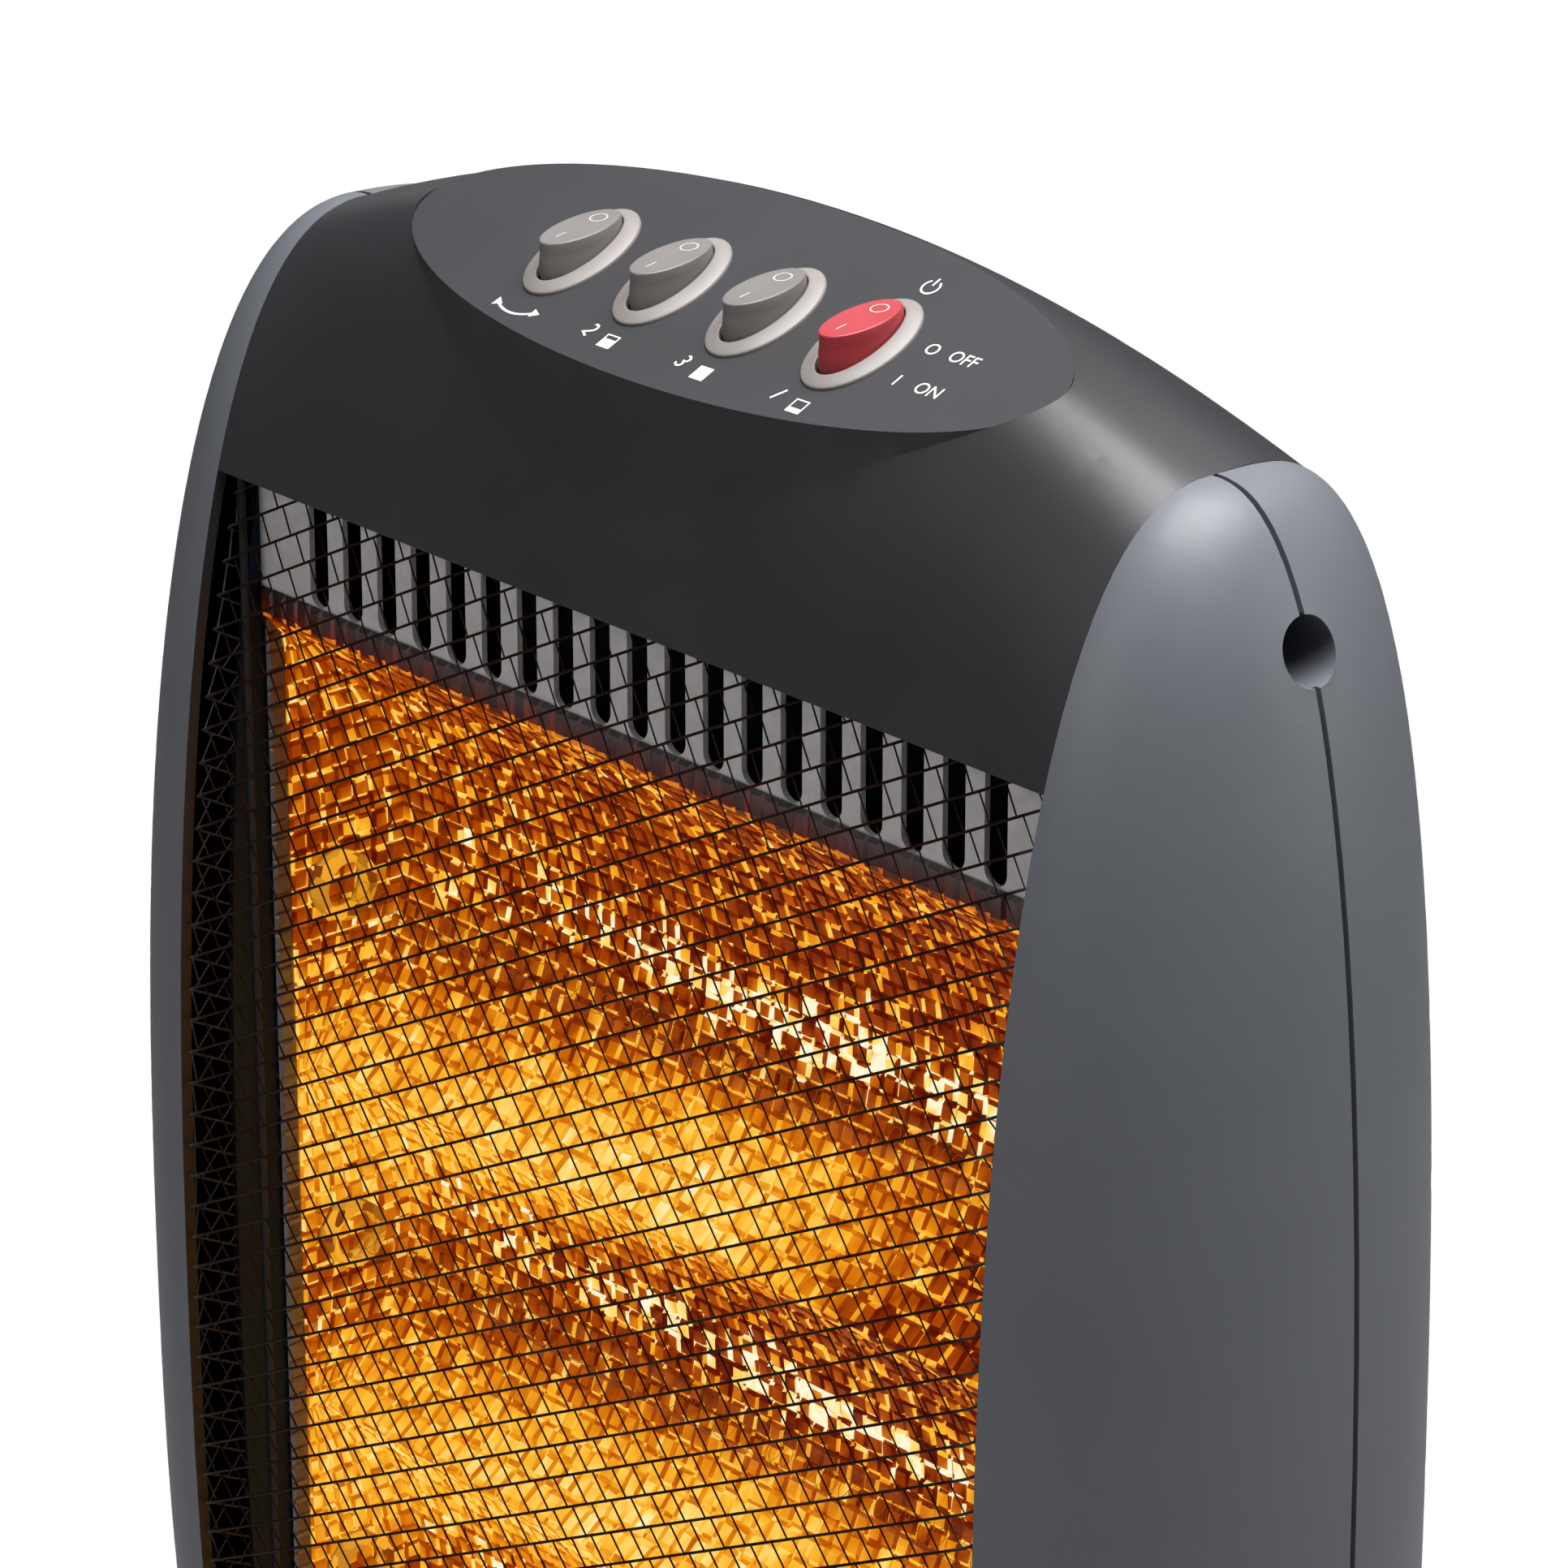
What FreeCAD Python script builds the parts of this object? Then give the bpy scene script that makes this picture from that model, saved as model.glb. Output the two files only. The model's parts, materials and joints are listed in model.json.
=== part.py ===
import FreeCAD, Part
import math
import os

from FreeCAD import Matrix, Placement, Rotation, Vector

os.makedirs("parts", exist_ok=True)

# Free-standing quartz heater. +Z is up, the front faces -Y, and the origin is on the floor
# under the swivel axis. All sizes are in millimetres and degrees.

# Head outline. Seen from the side each grey cover is a leaf with a tip at its top and bottom,
# and its rear half is fuller than its front half.
middle_height = 310.0
leaf_half_height = 208.5
leaf_front = 51.0
leaf_rear = 42.0
leaf_power = 2.45
leaf_rear_power = 4.0
leaf_stations = 25
leaf_tip_angle = 89.2
seam_y = 6.0
opening_half_width = 112.5
opening_half_height = 162.0
cheek_bulge = 39.5
wall = 2.5
seam_groove_width = 1.2
seam_groove_depth = 1.4
fit_gap = 0.2
cut_margin = 1.0

# Crown of the top and bottom covers: how much higher the middle is than the ends
crown_rise = 0.43
bottom_rise = 0.2
crown_sections = 5
crown_stations = 8

# Control panel, measured from the middle of the front apron's lower edge
panel_row_back = 27.4
panel_row_up = 53.1
panel_tilt = 25.0
panel_half_length = 84.0
panel_half_depth = 26.0
panel_centre_shift = 2.0

# Rocker switches
switch_count = 4
switch_pitch = 25.0
bezel_width = 17.6
bezel_length = 25.6
bezel_height = 1.4
bezel_opening_width = 11.6
rocker_side_gap = 0.6
rocker_radius = 9.8
rocker_end_gap = 0.4
rocker_top = 6.5
rocker_drop = 1.5
rocker_rest_tilt = 15.0
rocker_crest_setback = 1.1
rocker_crest_inset = 0.3
rocker_pin_radius = 1.0
rocker_pin_reach = 1.2
rocker_pin_gap = 0.05
housing_wall = 1.5
housing_depth = 20.0
housing_floor = 2.0
terminal_width = 4.8
terminal_thickness = 0.8
terminal_length = 8.0
terminal_spread = 7.0

# Screw wells on the seams of the side covers
well_height = 184.0
well_radius = 5.8
well_wall = 1.6
well_floor = 6.0
screw_head_radius = 3.6
screw_head_height = 2.6
screw_shank_radius = 1.8
screw_seat_gap = 0.4

# Reflector, tubes and the sheet metal that carries them
plate_thickness = 1.5
plate_setback = 9.0
tube_pitch = 74.0
tube_setback = 15.0
tube_radius = 5.0
tube_wall = 1.0
tube_overhang = 6.0
coil_radius = 2.4
cap_radius = 6.8
cap_flange_radius = 9.0
cap_flange_thickness = 2.5
cap_inner_reach = 5.0
cap_floor = 9.0
lead_radius = 1.2
reflector_thickness = 1.2
reflector_setback = 8.2
reflector_ridge_drop = 10.0
reflector_trough_depth = 31.5
reflector_lip = 58.0
reflector_tuck = 10.0
reflector_end_thickness = 0.6
slot_count = 19
slot_pitch = 10.3
slot_width = 5.6
slot_reach = 24.0
shield_setback = 43.0
shield_thickness = 0.8
shield_half_height = 145.0

# Mesh grille, with its openings drawn larger than the finest real mesh
mesh_inset = 3.6
mesh_thickness = 1.2
mesh_edge_gap = 0.8
mesh_return_power = 8
mesh_tuck = 3.0
mesh_columns = 6
mesh_rows = 13
mesh_sections = 7
mesh_stations = 21
mesh_station_power = 0.6
mesh_strand = 2.4
mesh_margin = 3.0

# Rear cover vents and its bosses
vent_rows = 9
vent_pitch = 26.0
vent_height = 6.0
vent_length = 78.0
vent_column_offset = 50.0
boss_radius = 5.0
rear_seat_depth = 3.0
boss_x = 98.0
boss_z = 125.0

# Thermal cut-out and terminal block on the heat shield
cutout_radius = 8.0
cutout_height = 8.0
cutout_x = 0.0
cutout_z = 113.0
block_size = Vector(46.0, 9.0, 16.0)
block_z = -113.0

# Round base
base_radius = 125.0
base_rim_height = 18.0
base_height = 46.0
base_top_radius = 44.0
base_shoulder_lift = 5.5
base_wall = 2.5
foot_height = 4.0
foot_radius = 9.0
foot_taper = 0.85
foot_inset = 25.0
foot_count = 4
base_plate_thickness = 1.5
base_plate_gap = 0.3
ballast_width = 24.0
ballast_height = 5.0
ballast_gland_gap = 1.0
gland_radius = 5.0
gland_bore = 3.6
gland_inside = 8.0
base_screw_inset = 10.0
base_screw_count = 4
base_screw_radius = 1.8
base_screw_length = 12.0
base_screw_head_radius = 3.4
base_screw_head_height = 1.8
base_post_radius = 5.0
ring_turn = 45.0

# Neck and swivel
neck_foot_radius = 36.0
neck_top_radius = 29.0
neck_wall = 4.0
washer_thickness = 1.5
washer_margin = 2.0
spigot_radius = 18.0
spigot_bore = 12.0
swivel_gap = 0.4
retainer_radius = 26.0
retainer_thickness = 2.5
retainer_gap = 1.0
arm_thickness = 3.0
arm_width = 10.0
arm_length = 26.0
arm_pin_radius = 2.0
link_gap = 0.5
link_thickness = 3.0
link_width = 8.0
link_pin_gap = 0.3
motor_ballast_gap = 6.0
motor_radius = 24.0
motor_height = 15.0
motor_shaft_radius = 3.0
motor_shaft_gap = 0.05
spigot_end_drop = 13.0

# Tip-over switch
tip_switch_y = 62.0
tip_switch_size = Vector(28.0, 12.0, 16.0)
plunger_radius = 3.0
plunger_gap = 0.3
plunger_clearance = 0.4
plunger_rise = 4.0
plunger_head_height = 1.0
plunger_head_margin = 1.2

# Heights and places that follow from the sizes above
opening_top = middle_height + opening_half_height
opening_bottom = middle_height - opening_half_height
plate_inner_x = opening_half_width - plate_thickness
plate_floor = foot_height + base_plate_thickness
shell_top = base_height
gland_height = (foot_height + base_rim_height) / 2
ballast_outer_radius = base_radius - gland_inside - ballast_gland_gap
ballast_inner_radius = ballast_outer_radius - ballast_width
motor_x = motor_radius + motor_ballast_gap - ballast_inner_radius
base_screw_circle = ballast_inner_radius - base_screw_inset
foot_circle = base_radius - foot_inset
washer_top = shell_top + washer_thickness
retainer_top = shell_top - base_wall - retainer_gap
arm_top = retainer_top - spigot_end_drop
link_top = arm_top - arm_thickness - link_gap
motor_top = plate_floor + motor_height
tube_heights = [middle_height + step * tube_pitch for step in (1, 0, -1)]
tube_names = ["top", "middle", "bottom"]
x_axis = Vector(1, 0, 0)
y_axis = Vector(0, 1, 0)
z_axis = Vector(0, 0, 1)
far = 400.0


def export(name, shape):
    shape.exportStep("parts/" + name + ".step")
    solids = len(shape.Solids)
    print(name, "solids", solids, "valid", shape.isValid(), "volume", round(shape.Volume))


def mirrored(shape):
    return shape.mirror(Vector(0, 0, 0), x_axis)


def box(low, high):
    size = high - low
    return Part.makeBox(size.x, size.y, size.z, low)


def spline(points):
    curve = Part.BSplineCurve()
    curve.interpolate(points)
    return curve.toShape()


def polygon_edges(points):
    return [Part.makeLine(a, b) for a, b in zip(points, points[1:])]


def oval(width, length):
    if length > width:
        curve = Part.Ellipse(Vector(0, length / 2, 0), Vector(width / 2, 0, 0), Vector(0, 0, 0))
    else:
        curve = Part.Ellipse(Vector(width / 2, 0, 0), Vector(0, length / 2, 0), Vector(0, 0, 0))
    return Part.Face(Part.Wire(curve.toShape()))


def oval_prism(width, length, low, high):
    face = oval(width, length)
    face.translate(Vector(0, 0, low))
    return face.extrude(Vector(0, 0, high - low))


# Leaf outline of the head, a rounded superellipse about the middle height
def leaf_point(depth, power, half_height, angle):
    along = abs(round(math.cos(angle), 12)) ** (2 / power)
    up = math.copysign(abs(math.sin(angle)) ** (2 / power), math.sin(angle))
    return depth * along, half_height * up


def leaf_depth(depth, power, half_height, z):
    return depth * (1 - abs(z / half_height) ** power) ** (1 / power)


def leaf_angle(power, half_height, z):
    return math.asin((z / half_height) ** (power / 2))


def spread(first, last, count):
    return [first + (last - first) * i / (count - 1) for i in range(count)]


def leaf_face(front_inset, inset):
    half_height = leaf_half_height - inset
    angles = spread(-math.pi / 2, math.pi / 2, leaf_stations)
    halves = []
    front = (leaf_front - front_inset, leaf_power, -1)
    rear = (leaf_rear - inset, leaf_rear_power, 1)
    for depth, power, sign in (front, rear):
        pairs = [leaf_point(depth, power, half_height, angle) for angle in angles]
        points = [Vector(0, seam_y + sign * y, middle_height + z) for y, z in pairs]
        halves.append(spline(points))
    return Part.Face(Part.Wire(halves))


# Side covers: oval rings stacked from tip to tip, each as wide as the bulge and as deep as the leaf
def cheek_ring(width, depth, z):
    ring = Part.Wire(Part.Circle(Vector(0, 0, 0), z_axis, 1).toShape())
    ring.rotate(Vector(0, 0, 0), z_axis, 180)
    stretch = Matrix()
    stretch.scale(width, depth, 1)
    ring = ring.transformGeometry(stretch)
    ring.translate(Vector(opening_half_width, seam_y, middle_height + z))
    return ring


def cheek_solid(depth, power, inset):
    half_height = leaf_half_height - inset
    rings = []
    for angle in spread(-leaf_tip_angle, leaf_tip_angle, leaf_stations):
        width, z = leaf_point(cheek_bulge - inset, leaf_power, half_height, math.radians(angle))
        rings.append(cheek_ring(width, leaf_depth(depth - inset, power, half_height, z), z))
    return Part.makeLoft(rings, True)


def well_bores(radius, start_x, length):
    bores = []
    for side in (1, -1):
        start = Vector(start_x, seam_y, middle_height + side * well_height)
        bore = Part.makeCylinder(radius, length, start, x_axis)
        bore.rotate(start, x_axis, ring_turn)
        bores.append(bore)
    return Part.makeCompound(bores)


def side_cover(depth, power, sign):
    rim = opening_half_width
    outer = cheek_solid(depth, power, 0).cut(well_bores(well_radius, rim + well_floor, far))
    outer = outer.cut(well_bores(screw_shank_radius, rim - cut_margin, well_floor + 2 * cut_margin))
    groove = seam_groove_width / 2
    slab = box(Vector(0, seam_y - groove, 0), Vector(far, seam_y + groove, 2 * middle_height))
    outer = outer.cut(slab.cut(cheek_solid(depth, power, seam_groove_depth)))
    hollow = cheek_solid(depth, power, wall).cut(well_bores(well_radius + well_wall, 0, far))
    near = seam_y if sign > 0 else seam_y - far
    corner = box(Vector(rim, near, 0), Vector(far, near + far, 2 * middle_height))
    return outer.cut(hollow).common(corner)


def side_screws():
    screws = []
    for side in (1, -1):
        start = Vector(plate_inner_x, seam_y, middle_height + side * well_height)
        length = plate_thickness + well_floor
        shank = Part.makeCylinder(screw_shank_radius, length, start, x_axis)
        head_start = start + x_axis * length
        head = Part.makeCylinder(screw_head_radius, screw_head_height, head_start, x_axis)
        screws.append(shank.fuse(head))
    return screws


# Crown: side profiles along the width, each lifted above the opening's edge
def crown_section(x, inset, rise, foot):
    half_height = leaf_half_height - inset
    lift = 1 + rise * (1 - (x / opening_half_width) ** 2)
    halves = []
    for depth, power, sign in ((leaf_front, leaf_power, -1), (leaf_rear, leaf_rear_power, 1)):
        half = []
        for angle in spread(leaf_angle(power, half_height, opening_half_height), math.pi / 2, crown_stations):
            y, z = leaf_point(depth - inset, power, half_height, angle)
            half.append(Vector(x, seam_y + sign * y, opening_top + (z - opening_half_height) * lift))
        halves.append(half)
    line = halves[0] + halves[1][-2::-1]
    feet = [line[-1] - z_axis * foot, line[0] - z_axis * foot]
    return Part.Wire([spline(line)] + polygon_edges([line[-1]] + feet + [line[0]]))


def crown(inset, rise, reach, foot):
    places = spread(-reach, reach, crown_sections)
    return Part.makeLoft([crown_section(x, inset, rise, foot) for x in places], True)


apron_y = seam_y - leaf_depth(leaf_front, leaf_power, leaf_half_height, opening_half_height)


def apron_point(back, up):
    return Vector(0, apron_y + back, opening_top + up)


panel_origin = apron_point(panel_row_back, panel_row_up)
panel_placement = Placement(panel_origin, Rotation(x_axis, panel_tilt))


def below_panel(inset):
    block = box(Vector(-far, -far, -far), Vector(far, far, -inset))
    return block.transformGeometry(panel_placement.toMatrix())


def panel_column(inset):
    tilt = math.cos(math.radians(panel_tilt))
    width = 2 * (panel_half_length - inset)
    column = oval_prism(width, 2 * (panel_half_depth * tilt - inset), 0, far)
    column.translate(Vector(0, panel_origin.y + panel_centre_shift * tilt, opening_top))
    return column


def crowned_block(inset, reach, foot):
    block = crown(inset, crown_rise, reach, foot)
    column = panel_column(inset)
    limit = below_panel(inset)
    return block.cut(column.cut(limit)).fuse(column.common(limit))


def switch_places():
    middle = (switch_count - 1) / 2
    return [Vector((i - middle) * switch_pitch, 0, 0) for i in range(switch_count)]


housing_width = bezel_opening_width + 2 * housing_wall
housing_length = 2 * (rocker_radius + rocker_end_gap + housing_wall)


def on_panel(shape, offset):
    moved = shape.copy()
    moved.Placement = panel_placement.multiply(Placement(offset, Rotation())).multiply(moved.Placement)
    return moved


def top_cover():
    above = box(Vector(-far, -far, opening_top), Vector(far, far, far + opening_top))
    cover = crowned_block(0, opening_half_width, wall).common(above)
    cover = cover.cut(crowned_block(wall, opening_half_width + wall, 2 * wall))
    hole = oval_prism(housing_width + 2 * fit_gap, housing_length + 2 * fit_gap,
                      -housing_depth, housing_depth)
    for offset in switch_places():
        cover = cover.cut(on_panel(hole, offset))
    return cover


def flipped(shape):
    return shape.mirror(Vector(0, 0, middle_height), z_axis)


def bottom_cover():
    above = box(Vector(-far, -far, opening_top), Vector(far, far, far + opening_top))
    cover = crown(0, bottom_rise, opening_half_width, wall).common(above)
    cover = cover.cut(crown(wall, bottom_rise, opening_half_width + wall, 2 * wall))
    passage = Part.makeCylinder(spigot_bore, far, Vector(0, 0, washer_top))
    return flipped(cover).cut(passage.common(below_opening()))


def below_opening():
    return box(Vector(-far, -far, 0), Vector(far, far, opening_bottom))


def rear_cover():
    width = 2 * opening_half_width
    outer = leaf_face(0, 0).extrude(x_axis * width)
    inner = leaf_face(wall, wall).extrude(x_axis * width)
    for solid in (outer, inner):
        solid.translate(Vector(-opening_half_width, 0, 0))
    band = box(Vector(-far, seam_y, opening_bottom), Vector(far, far, opening_top))
    panel = outer.cut(inner).common(band)
    vents = []
    for row in spread(-(vent_rows - 1) / 2, (vent_rows - 1) / 2, vent_rows):
        for column in (-1, 1):
            start = Vector(column * vent_column_offset - vent_length / 2, seam_y, 0)
            start.z = middle_height + row * vent_pitch - vent_height / 2
            vents.append(Part.makeBox(vent_length, far, vent_height, start))
    panel = panel.cut(Part.makeCompound(vents))
    for place in boss_places():
        boss = Part.makeCylinder(boss_radius, far, place, y_axis).common(outer)
        hole = Part.makeCylinder(screw_shank_radius, far, place, y_axis)
        seat = Vector(place.x, rear_seat_y(), place.z)
        recess = Part.makeCylinder(screw_head_radius + screw_seat_gap, far, seat, y_axis)
        panel = panel.fuse(boss).cut(hole).cut(recess)
    return panel


def rear_seat_y():
    rim = boss_z + screw_head_radius + screw_seat_gap
    return seam_y + leaf_depth(leaf_rear, leaf_rear_power, leaf_half_height, rim) - rear_seat_depth


def boss_places():
    y = shield_y + shield_thickness
    return [Vector(i * boss_x, y, middle_height + k * boss_z) for i in (-1, 1) for k in (-1, 1)]


def rear_cover_screws():
    screws = []
    for place in boss_places():
        length = rear_seat_y() - place.y
        shank = Part.makeCylinder(screw_shank_radius, length + shield_thickness,
                                  place - y_axis * shield_thickness, y_axis)
        head = Part.makeCylinder(screw_head_radius, screw_head_height, place + y_axis * length, y_axis)
        screws.append(shank.fuse(head))
    return Part.makeCompound(screws)


# Sheet metal: end plates, reflector, its two ends and the heat shield, set back from the apron's edge
reflector_flange_y = apron_y + reflector_setback
reflector_ridge_y = reflector_flange_y + reflector_ridge_drop
reflector_trough_y = reflector_flange_y + reflector_trough_depth
tube_y = reflector_flange_y + tube_setback
shield_y = reflector_flange_y + shield_setback


def tube_holes(radius):
    holes = []
    for height in tube_heights:
        holes.append(Part.makeCylinder(radius, 2 * far, Vector(-far, tube_y, height), x_axis))
    return Part.makeCompound(holes)


def end_plate():
    face = leaf_face(wall + plate_setback, wall + fit_gap)
    plate = face.extrude(x_axis * plate_thickness)
    plate.translate(Vector(plate_inner_x, 0, 0))
    plate = plate.cut(tube_holes(cap_radius))
    for side in (1, -1):
        start = Vector(plate_inner_x, seam_y, middle_height + side * well_height)
        plate = plate.cut(Part.makeCylinder(screw_shank_radius, plate_thickness, start, x_axis))
    return plate


def reflector_line(shift):
    ridge = tube_pitch / 2
    edge = tube_pitch + reflector_lip
    tuck = opening_half_height + reflector_tuck

    def at(y, z):
        return Vector(0, y + shift, middle_height + z)

    edges = [Part.makeLine(at(reflector_flange_y, tuck), at(reflector_flange_y, edge))]
    stops = [(reflector_flange_y, edge), (reflector_ridge_y, ridge),
             (reflector_ridge_y, -ridge), (reflector_flange_y, -edge)]
    for step, (start, stop) in enumerate(zip(stops, stops[1:])):
        deepest = at(reflector_trough_y, (1 - step) * tube_pitch)
        edges.append(Part.Arc(at(*start), deepest, at(*stop)).toShape())
    edges.append(Part.makeLine(at(reflector_flange_y, -edge), at(reflector_flange_y, -tuck)))
    return edges


def line_ends(edges):
    return edges[0].Vertexes[0].Point, edges[-1].Vertexes[-1].Point


def reflector():
    front = reflector_line(0)
    back = reflector_line(reflector_thickness)
    front_top, front_foot = line_ends(front)
    back_top, back_foot = line_ends(back)
    joins = [Part.makeLine(front_foot, back_foot), Part.makeLine(back_top, front_top)]
    loop = front + back + joins
    sheet = Part.Face(Part.Wire(Part.__sortEdges__(loop))).extrude(x_axis * (2 * plate_inner_x))
    sheet.translate(Vector(-plate_inner_x, 0, 0))
    middle = (slot_count - 1) / 2
    near = reflector_flange_y - cut_margin
    deep = reflector_thickness + 2 * cut_margin
    straights = []
    ends = []
    for i in range(slot_count):
        x = (i - middle) * slot_pitch
        for side in (1, -1):
            inner = middle_height + side * (opening_half_height - slot_reach + slot_width / 2)
            outer = middle_height + side * (opening_half_height + slot_width / 2)
            corner = Vector(x - slot_width / 2, near, min(inner, outer))
            straights.append(Part.makeBox(slot_width, deep, abs(outer - inner), corner))
            ends.append(Part.makeCylinder(slot_width / 2, deep, Vector(x, near, inner), y_axis))
    return sheet.cut(Part.makeCompound(straights)).cut(Part.makeCompound(ends))


def reflector_end():
    troughs = reflector_line(0)[1:-1]
    top, foot = line_ends(troughs)
    face = Part.Face(Part.Wire(troughs + [Part.makeLine(foot, top)]))
    sheet = face.extrude(x_axis * reflector_end_thickness)
    sheet.translate(Vector(plate_inner_x - reflector_end_thickness, 0, 0))
    return sheet.cut(tube_holes(cap_radius))


def heat_shield():
    low = Vector(-plate_inner_x, shield_y, middle_height - shield_half_height)
    high = Vector(plate_inner_x, shield_y + shield_thickness, middle_height + shield_half_height)
    shield = box(low, high)
    for place in boss_places():
        start = place - y_axis * shield_thickness
        shield = shield.cut(Part.makeCylinder(screw_shank_radius, shield_thickness, start, y_axis))
    return shield


# Tubes lie along X and end in stepped ceramic caps seated on the end plates
tube_end = opening_half_width + tube_overhang


def quartz_tube(height):
    start = Vector(-tube_end, tube_y, height)
    outer = Part.makeCylinder(tube_radius, 2 * tube_end, start, x_axis)
    return outer.cut(Part.makeCylinder(tube_radius - tube_wall, 2 * tube_end, start, x_axis))


def heating_coil(height):
    start = Vector(-tube_end, tube_y, height)
    return Part.makeCylinder(coil_radius, 2 * tube_end, start, x_axis)


def ceramic_caps():
    caps = []
    for height in tube_heights:
        start = Vector(plate_inner_x - cap_inner_reach, tube_y, height)
        length = tube_end + cap_floor - start.x
        barrel = Part.makeCylinder(cap_radius, length, start, x_axis)
        flange_start = Vector(opening_half_width, tube_y, height)
        flange = Part.makeCylinder(cap_flange_radius, cap_flange_thickness, flange_start, x_axis)
        seat = Part.makeCylinder(tube_radius, tube_end - start.x, start, x_axis)
        lead = Part.makeCylinder(lead_radius, length, start, x_axis)
        cap = barrel.fuse(flange).cut(seat).cut(lead)
        caps += [cap, mirrored(cap)]
    return Part.makeCompound(caps)


# Mesh grille: a thin bowed sheet cut through by a field of diamonds
def mesh_section(z):
    reach = plate_inner_x
    across = min(abs(z), opening_half_height)
    front = seam_y - leaf_depth(leaf_front, leaf_power, leaf_half_height, across) + mesh_inset
    edge = reflector_flange_y - mesh_edge_gap - mesh_thickness
    curves = []
    for shift in (0, mesh_thickness):
        points = []
        for share in spread(-1, 1, mesh_stations):
            x = math.copysign(reach * abs(share) ** mesh_station_power, share)
            back = (edge - front) * abs(x / reach) ** mesh_return_power
            points.append(Vector(x, front + shift + back, middle_height + z))
        curves.append((spline(points), points))
    (near, near_points), (away, away_points) = curves
    left = Part.makeLine(near_points[0], away_points[0])
    right = Part.makeLine(near_points[-1], away_points[-1])
    return Part.Wire([near, right, away, left])


def diamond(x, z, half_width, half_height):
    corners = [Vector(x + half_width, 0, z), Vector(x, 0, z + half_height),
               Vector(x - half_width, 0, z), Vector(x, 0, z - half_height)]
    return Part.Wire(polygon_edges(corners + corners[:1]))


def grille_mesh():
    half_tall = opening_half_height + mesh_tuck
    heights = spread(-half_tall, half_tall, mesh_sections)
    sheet = Part.makeLoft([mesh_section(z) for z in heights], True)
    pitch_x = 2 * (plate_inner_x - mesh_margin) / mesh_columns
    pitch_z = 2 * (half_tall - mesh_margin) / mesh_rows
    half_width = pitch_x / 2 - mesh_strand
    half_height = pitch_z / 2 - mesh_strand * pitch_z / pitch_x
    holes = []
    for rank in range(2 * mesh_rows - 1):
        stagger = rank % 2
        z = middle_height - half_tall + mesh_margin + (rank + 1) * pitch_z / 2
        for column in range(mesh_columns - stagger):
            x = -plate_inner_x + mesh_margin + (column + (1 + stagger) / 2) * pitch_x
            face = Part.Face(diamond(x, z, half_width, half_height))
            face.translate(Vector(0, -far / 4, 0))
            holes.append(face.extrude(y_axis * (far / 2)))
    return sheet.cut(Part.makeCompound(holes))


# Rocker switches, drawn flat on the panel plane and then set on the panel
def switch_housing():
    bezel = oval_prism(bezel_width, bezel_length, 0, bezel_height)
    body = oval_prism(housing_width, housing_length, -housing_depth, 0)
    opening_length = 2 * (rocker_radius + rocker_end_gap)
    hollow = oval_prism(bezel_opening_width, opening_length, housing_floor - housing_depth, bezel_height)
    pin_reach = bezel_opening_width / 2 + rocker_pin_reach
    pins = Part.makeCylinder(rocker_pin_radius + rocker_pin_gap, 2 * pin_reach,
                             Vector(-pin_reach, 0, -rocker_drop), x_axis)
    return bezel.fuse(body).cut(hollow).cut(pins)


def rocker():
    half_width = bezel_opening_width / 2 - rocker_side_gap
    narrowing = Matrix()
    narrowing.scale(half_width / rocker_radius, 1, 1)
    button = Part.makeSphere(rocker_radius).transformGeometry(narrowing)
    button = button.cut(box(Vector(-far, -far, rocker_top), Vector(far, far, far)))
    crest = oval_prism(2 * (half_width - rocker_crest_inset), 2 * (rocker_radius - rocker_crest_setback),
                       0, rocker_top)
    button = button.fuse(crest)
    pin_reach = bezel_opening_width / 2 + rocker_pin_reach - rocker_pin_gap
    pins = Part.makeCylinder(rocker_pin_radius, 2 * pin_reach, Vector(-pin_reach, 0, 0), x_axis)
    button = button.fuse(pins)
    tilted = Placement(Vector(0, 0, -rocker_drop), Rotation(x_axis, -rocker_rest_tilt))
    return button.transformGeometry(tilted.toMatrix())


def switch_terminals():
    blades = []
    for offset in switch_places():
        for side in (-1, 1):
            corner = Vector(-terminal_width / 2, side * terminal_spread / 2 - terminal_thickness / 2,
                            -housing_depth - terminal_length)
            blade = Part.makeBox(terminal_width, terminal_thickness, terminal_length, corner)
            blades.append(on_panel(blade, offset))
    return Part.makeCompound(blades)


# Base: a round dished shell on a steel plate with rubber feet
def disc(outer, inner, low, high):
    ring = Part.makeCylinder(outer, high - low, Vector(0, 0, low))
    return ring.cut(Part.makeCylinder(inner, high - low, Vector(0, 0, low)))


def ring_places(radius, count, turn):
    angles = [2 * math.pi * i / count + math.radians(turn) for i in range(count)]
    return [Vector(radius * math.cos(angle), radius * math.sin(angle), 0) for angle in angles]


def dome_solid(inset, floor):
    top = Vector(base_top_radius, 0, base_height - inset)
    rim = Vector(base_radius - inset, 0, base_rim_height - inset / 2)
    middle = (top + rim) * 0.5 + Vector(base_shoulder_lift, 0, base_shoulder_lift)
    corner = Vector(base_radius - inset, 0, floor)
    axis_top = Vector(0, 0, base_height - inset)
    axis_floor = Vector(0, 0, floor)
    edges = [Part.Arc(top, middle, rim).toShape()]
    edges += polygon_edges([rim, corner, axis_floor, axis_top, top])
    return Part.Face(Part.Wire(edges)).revolve(Vector(0, 0, 0), z_axis, 360)


def gland_line(radius, start, stop):
    return Part.makeCylinder(radius, stop - start, Vector(0, start, gland_height), y_axis)


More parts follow.
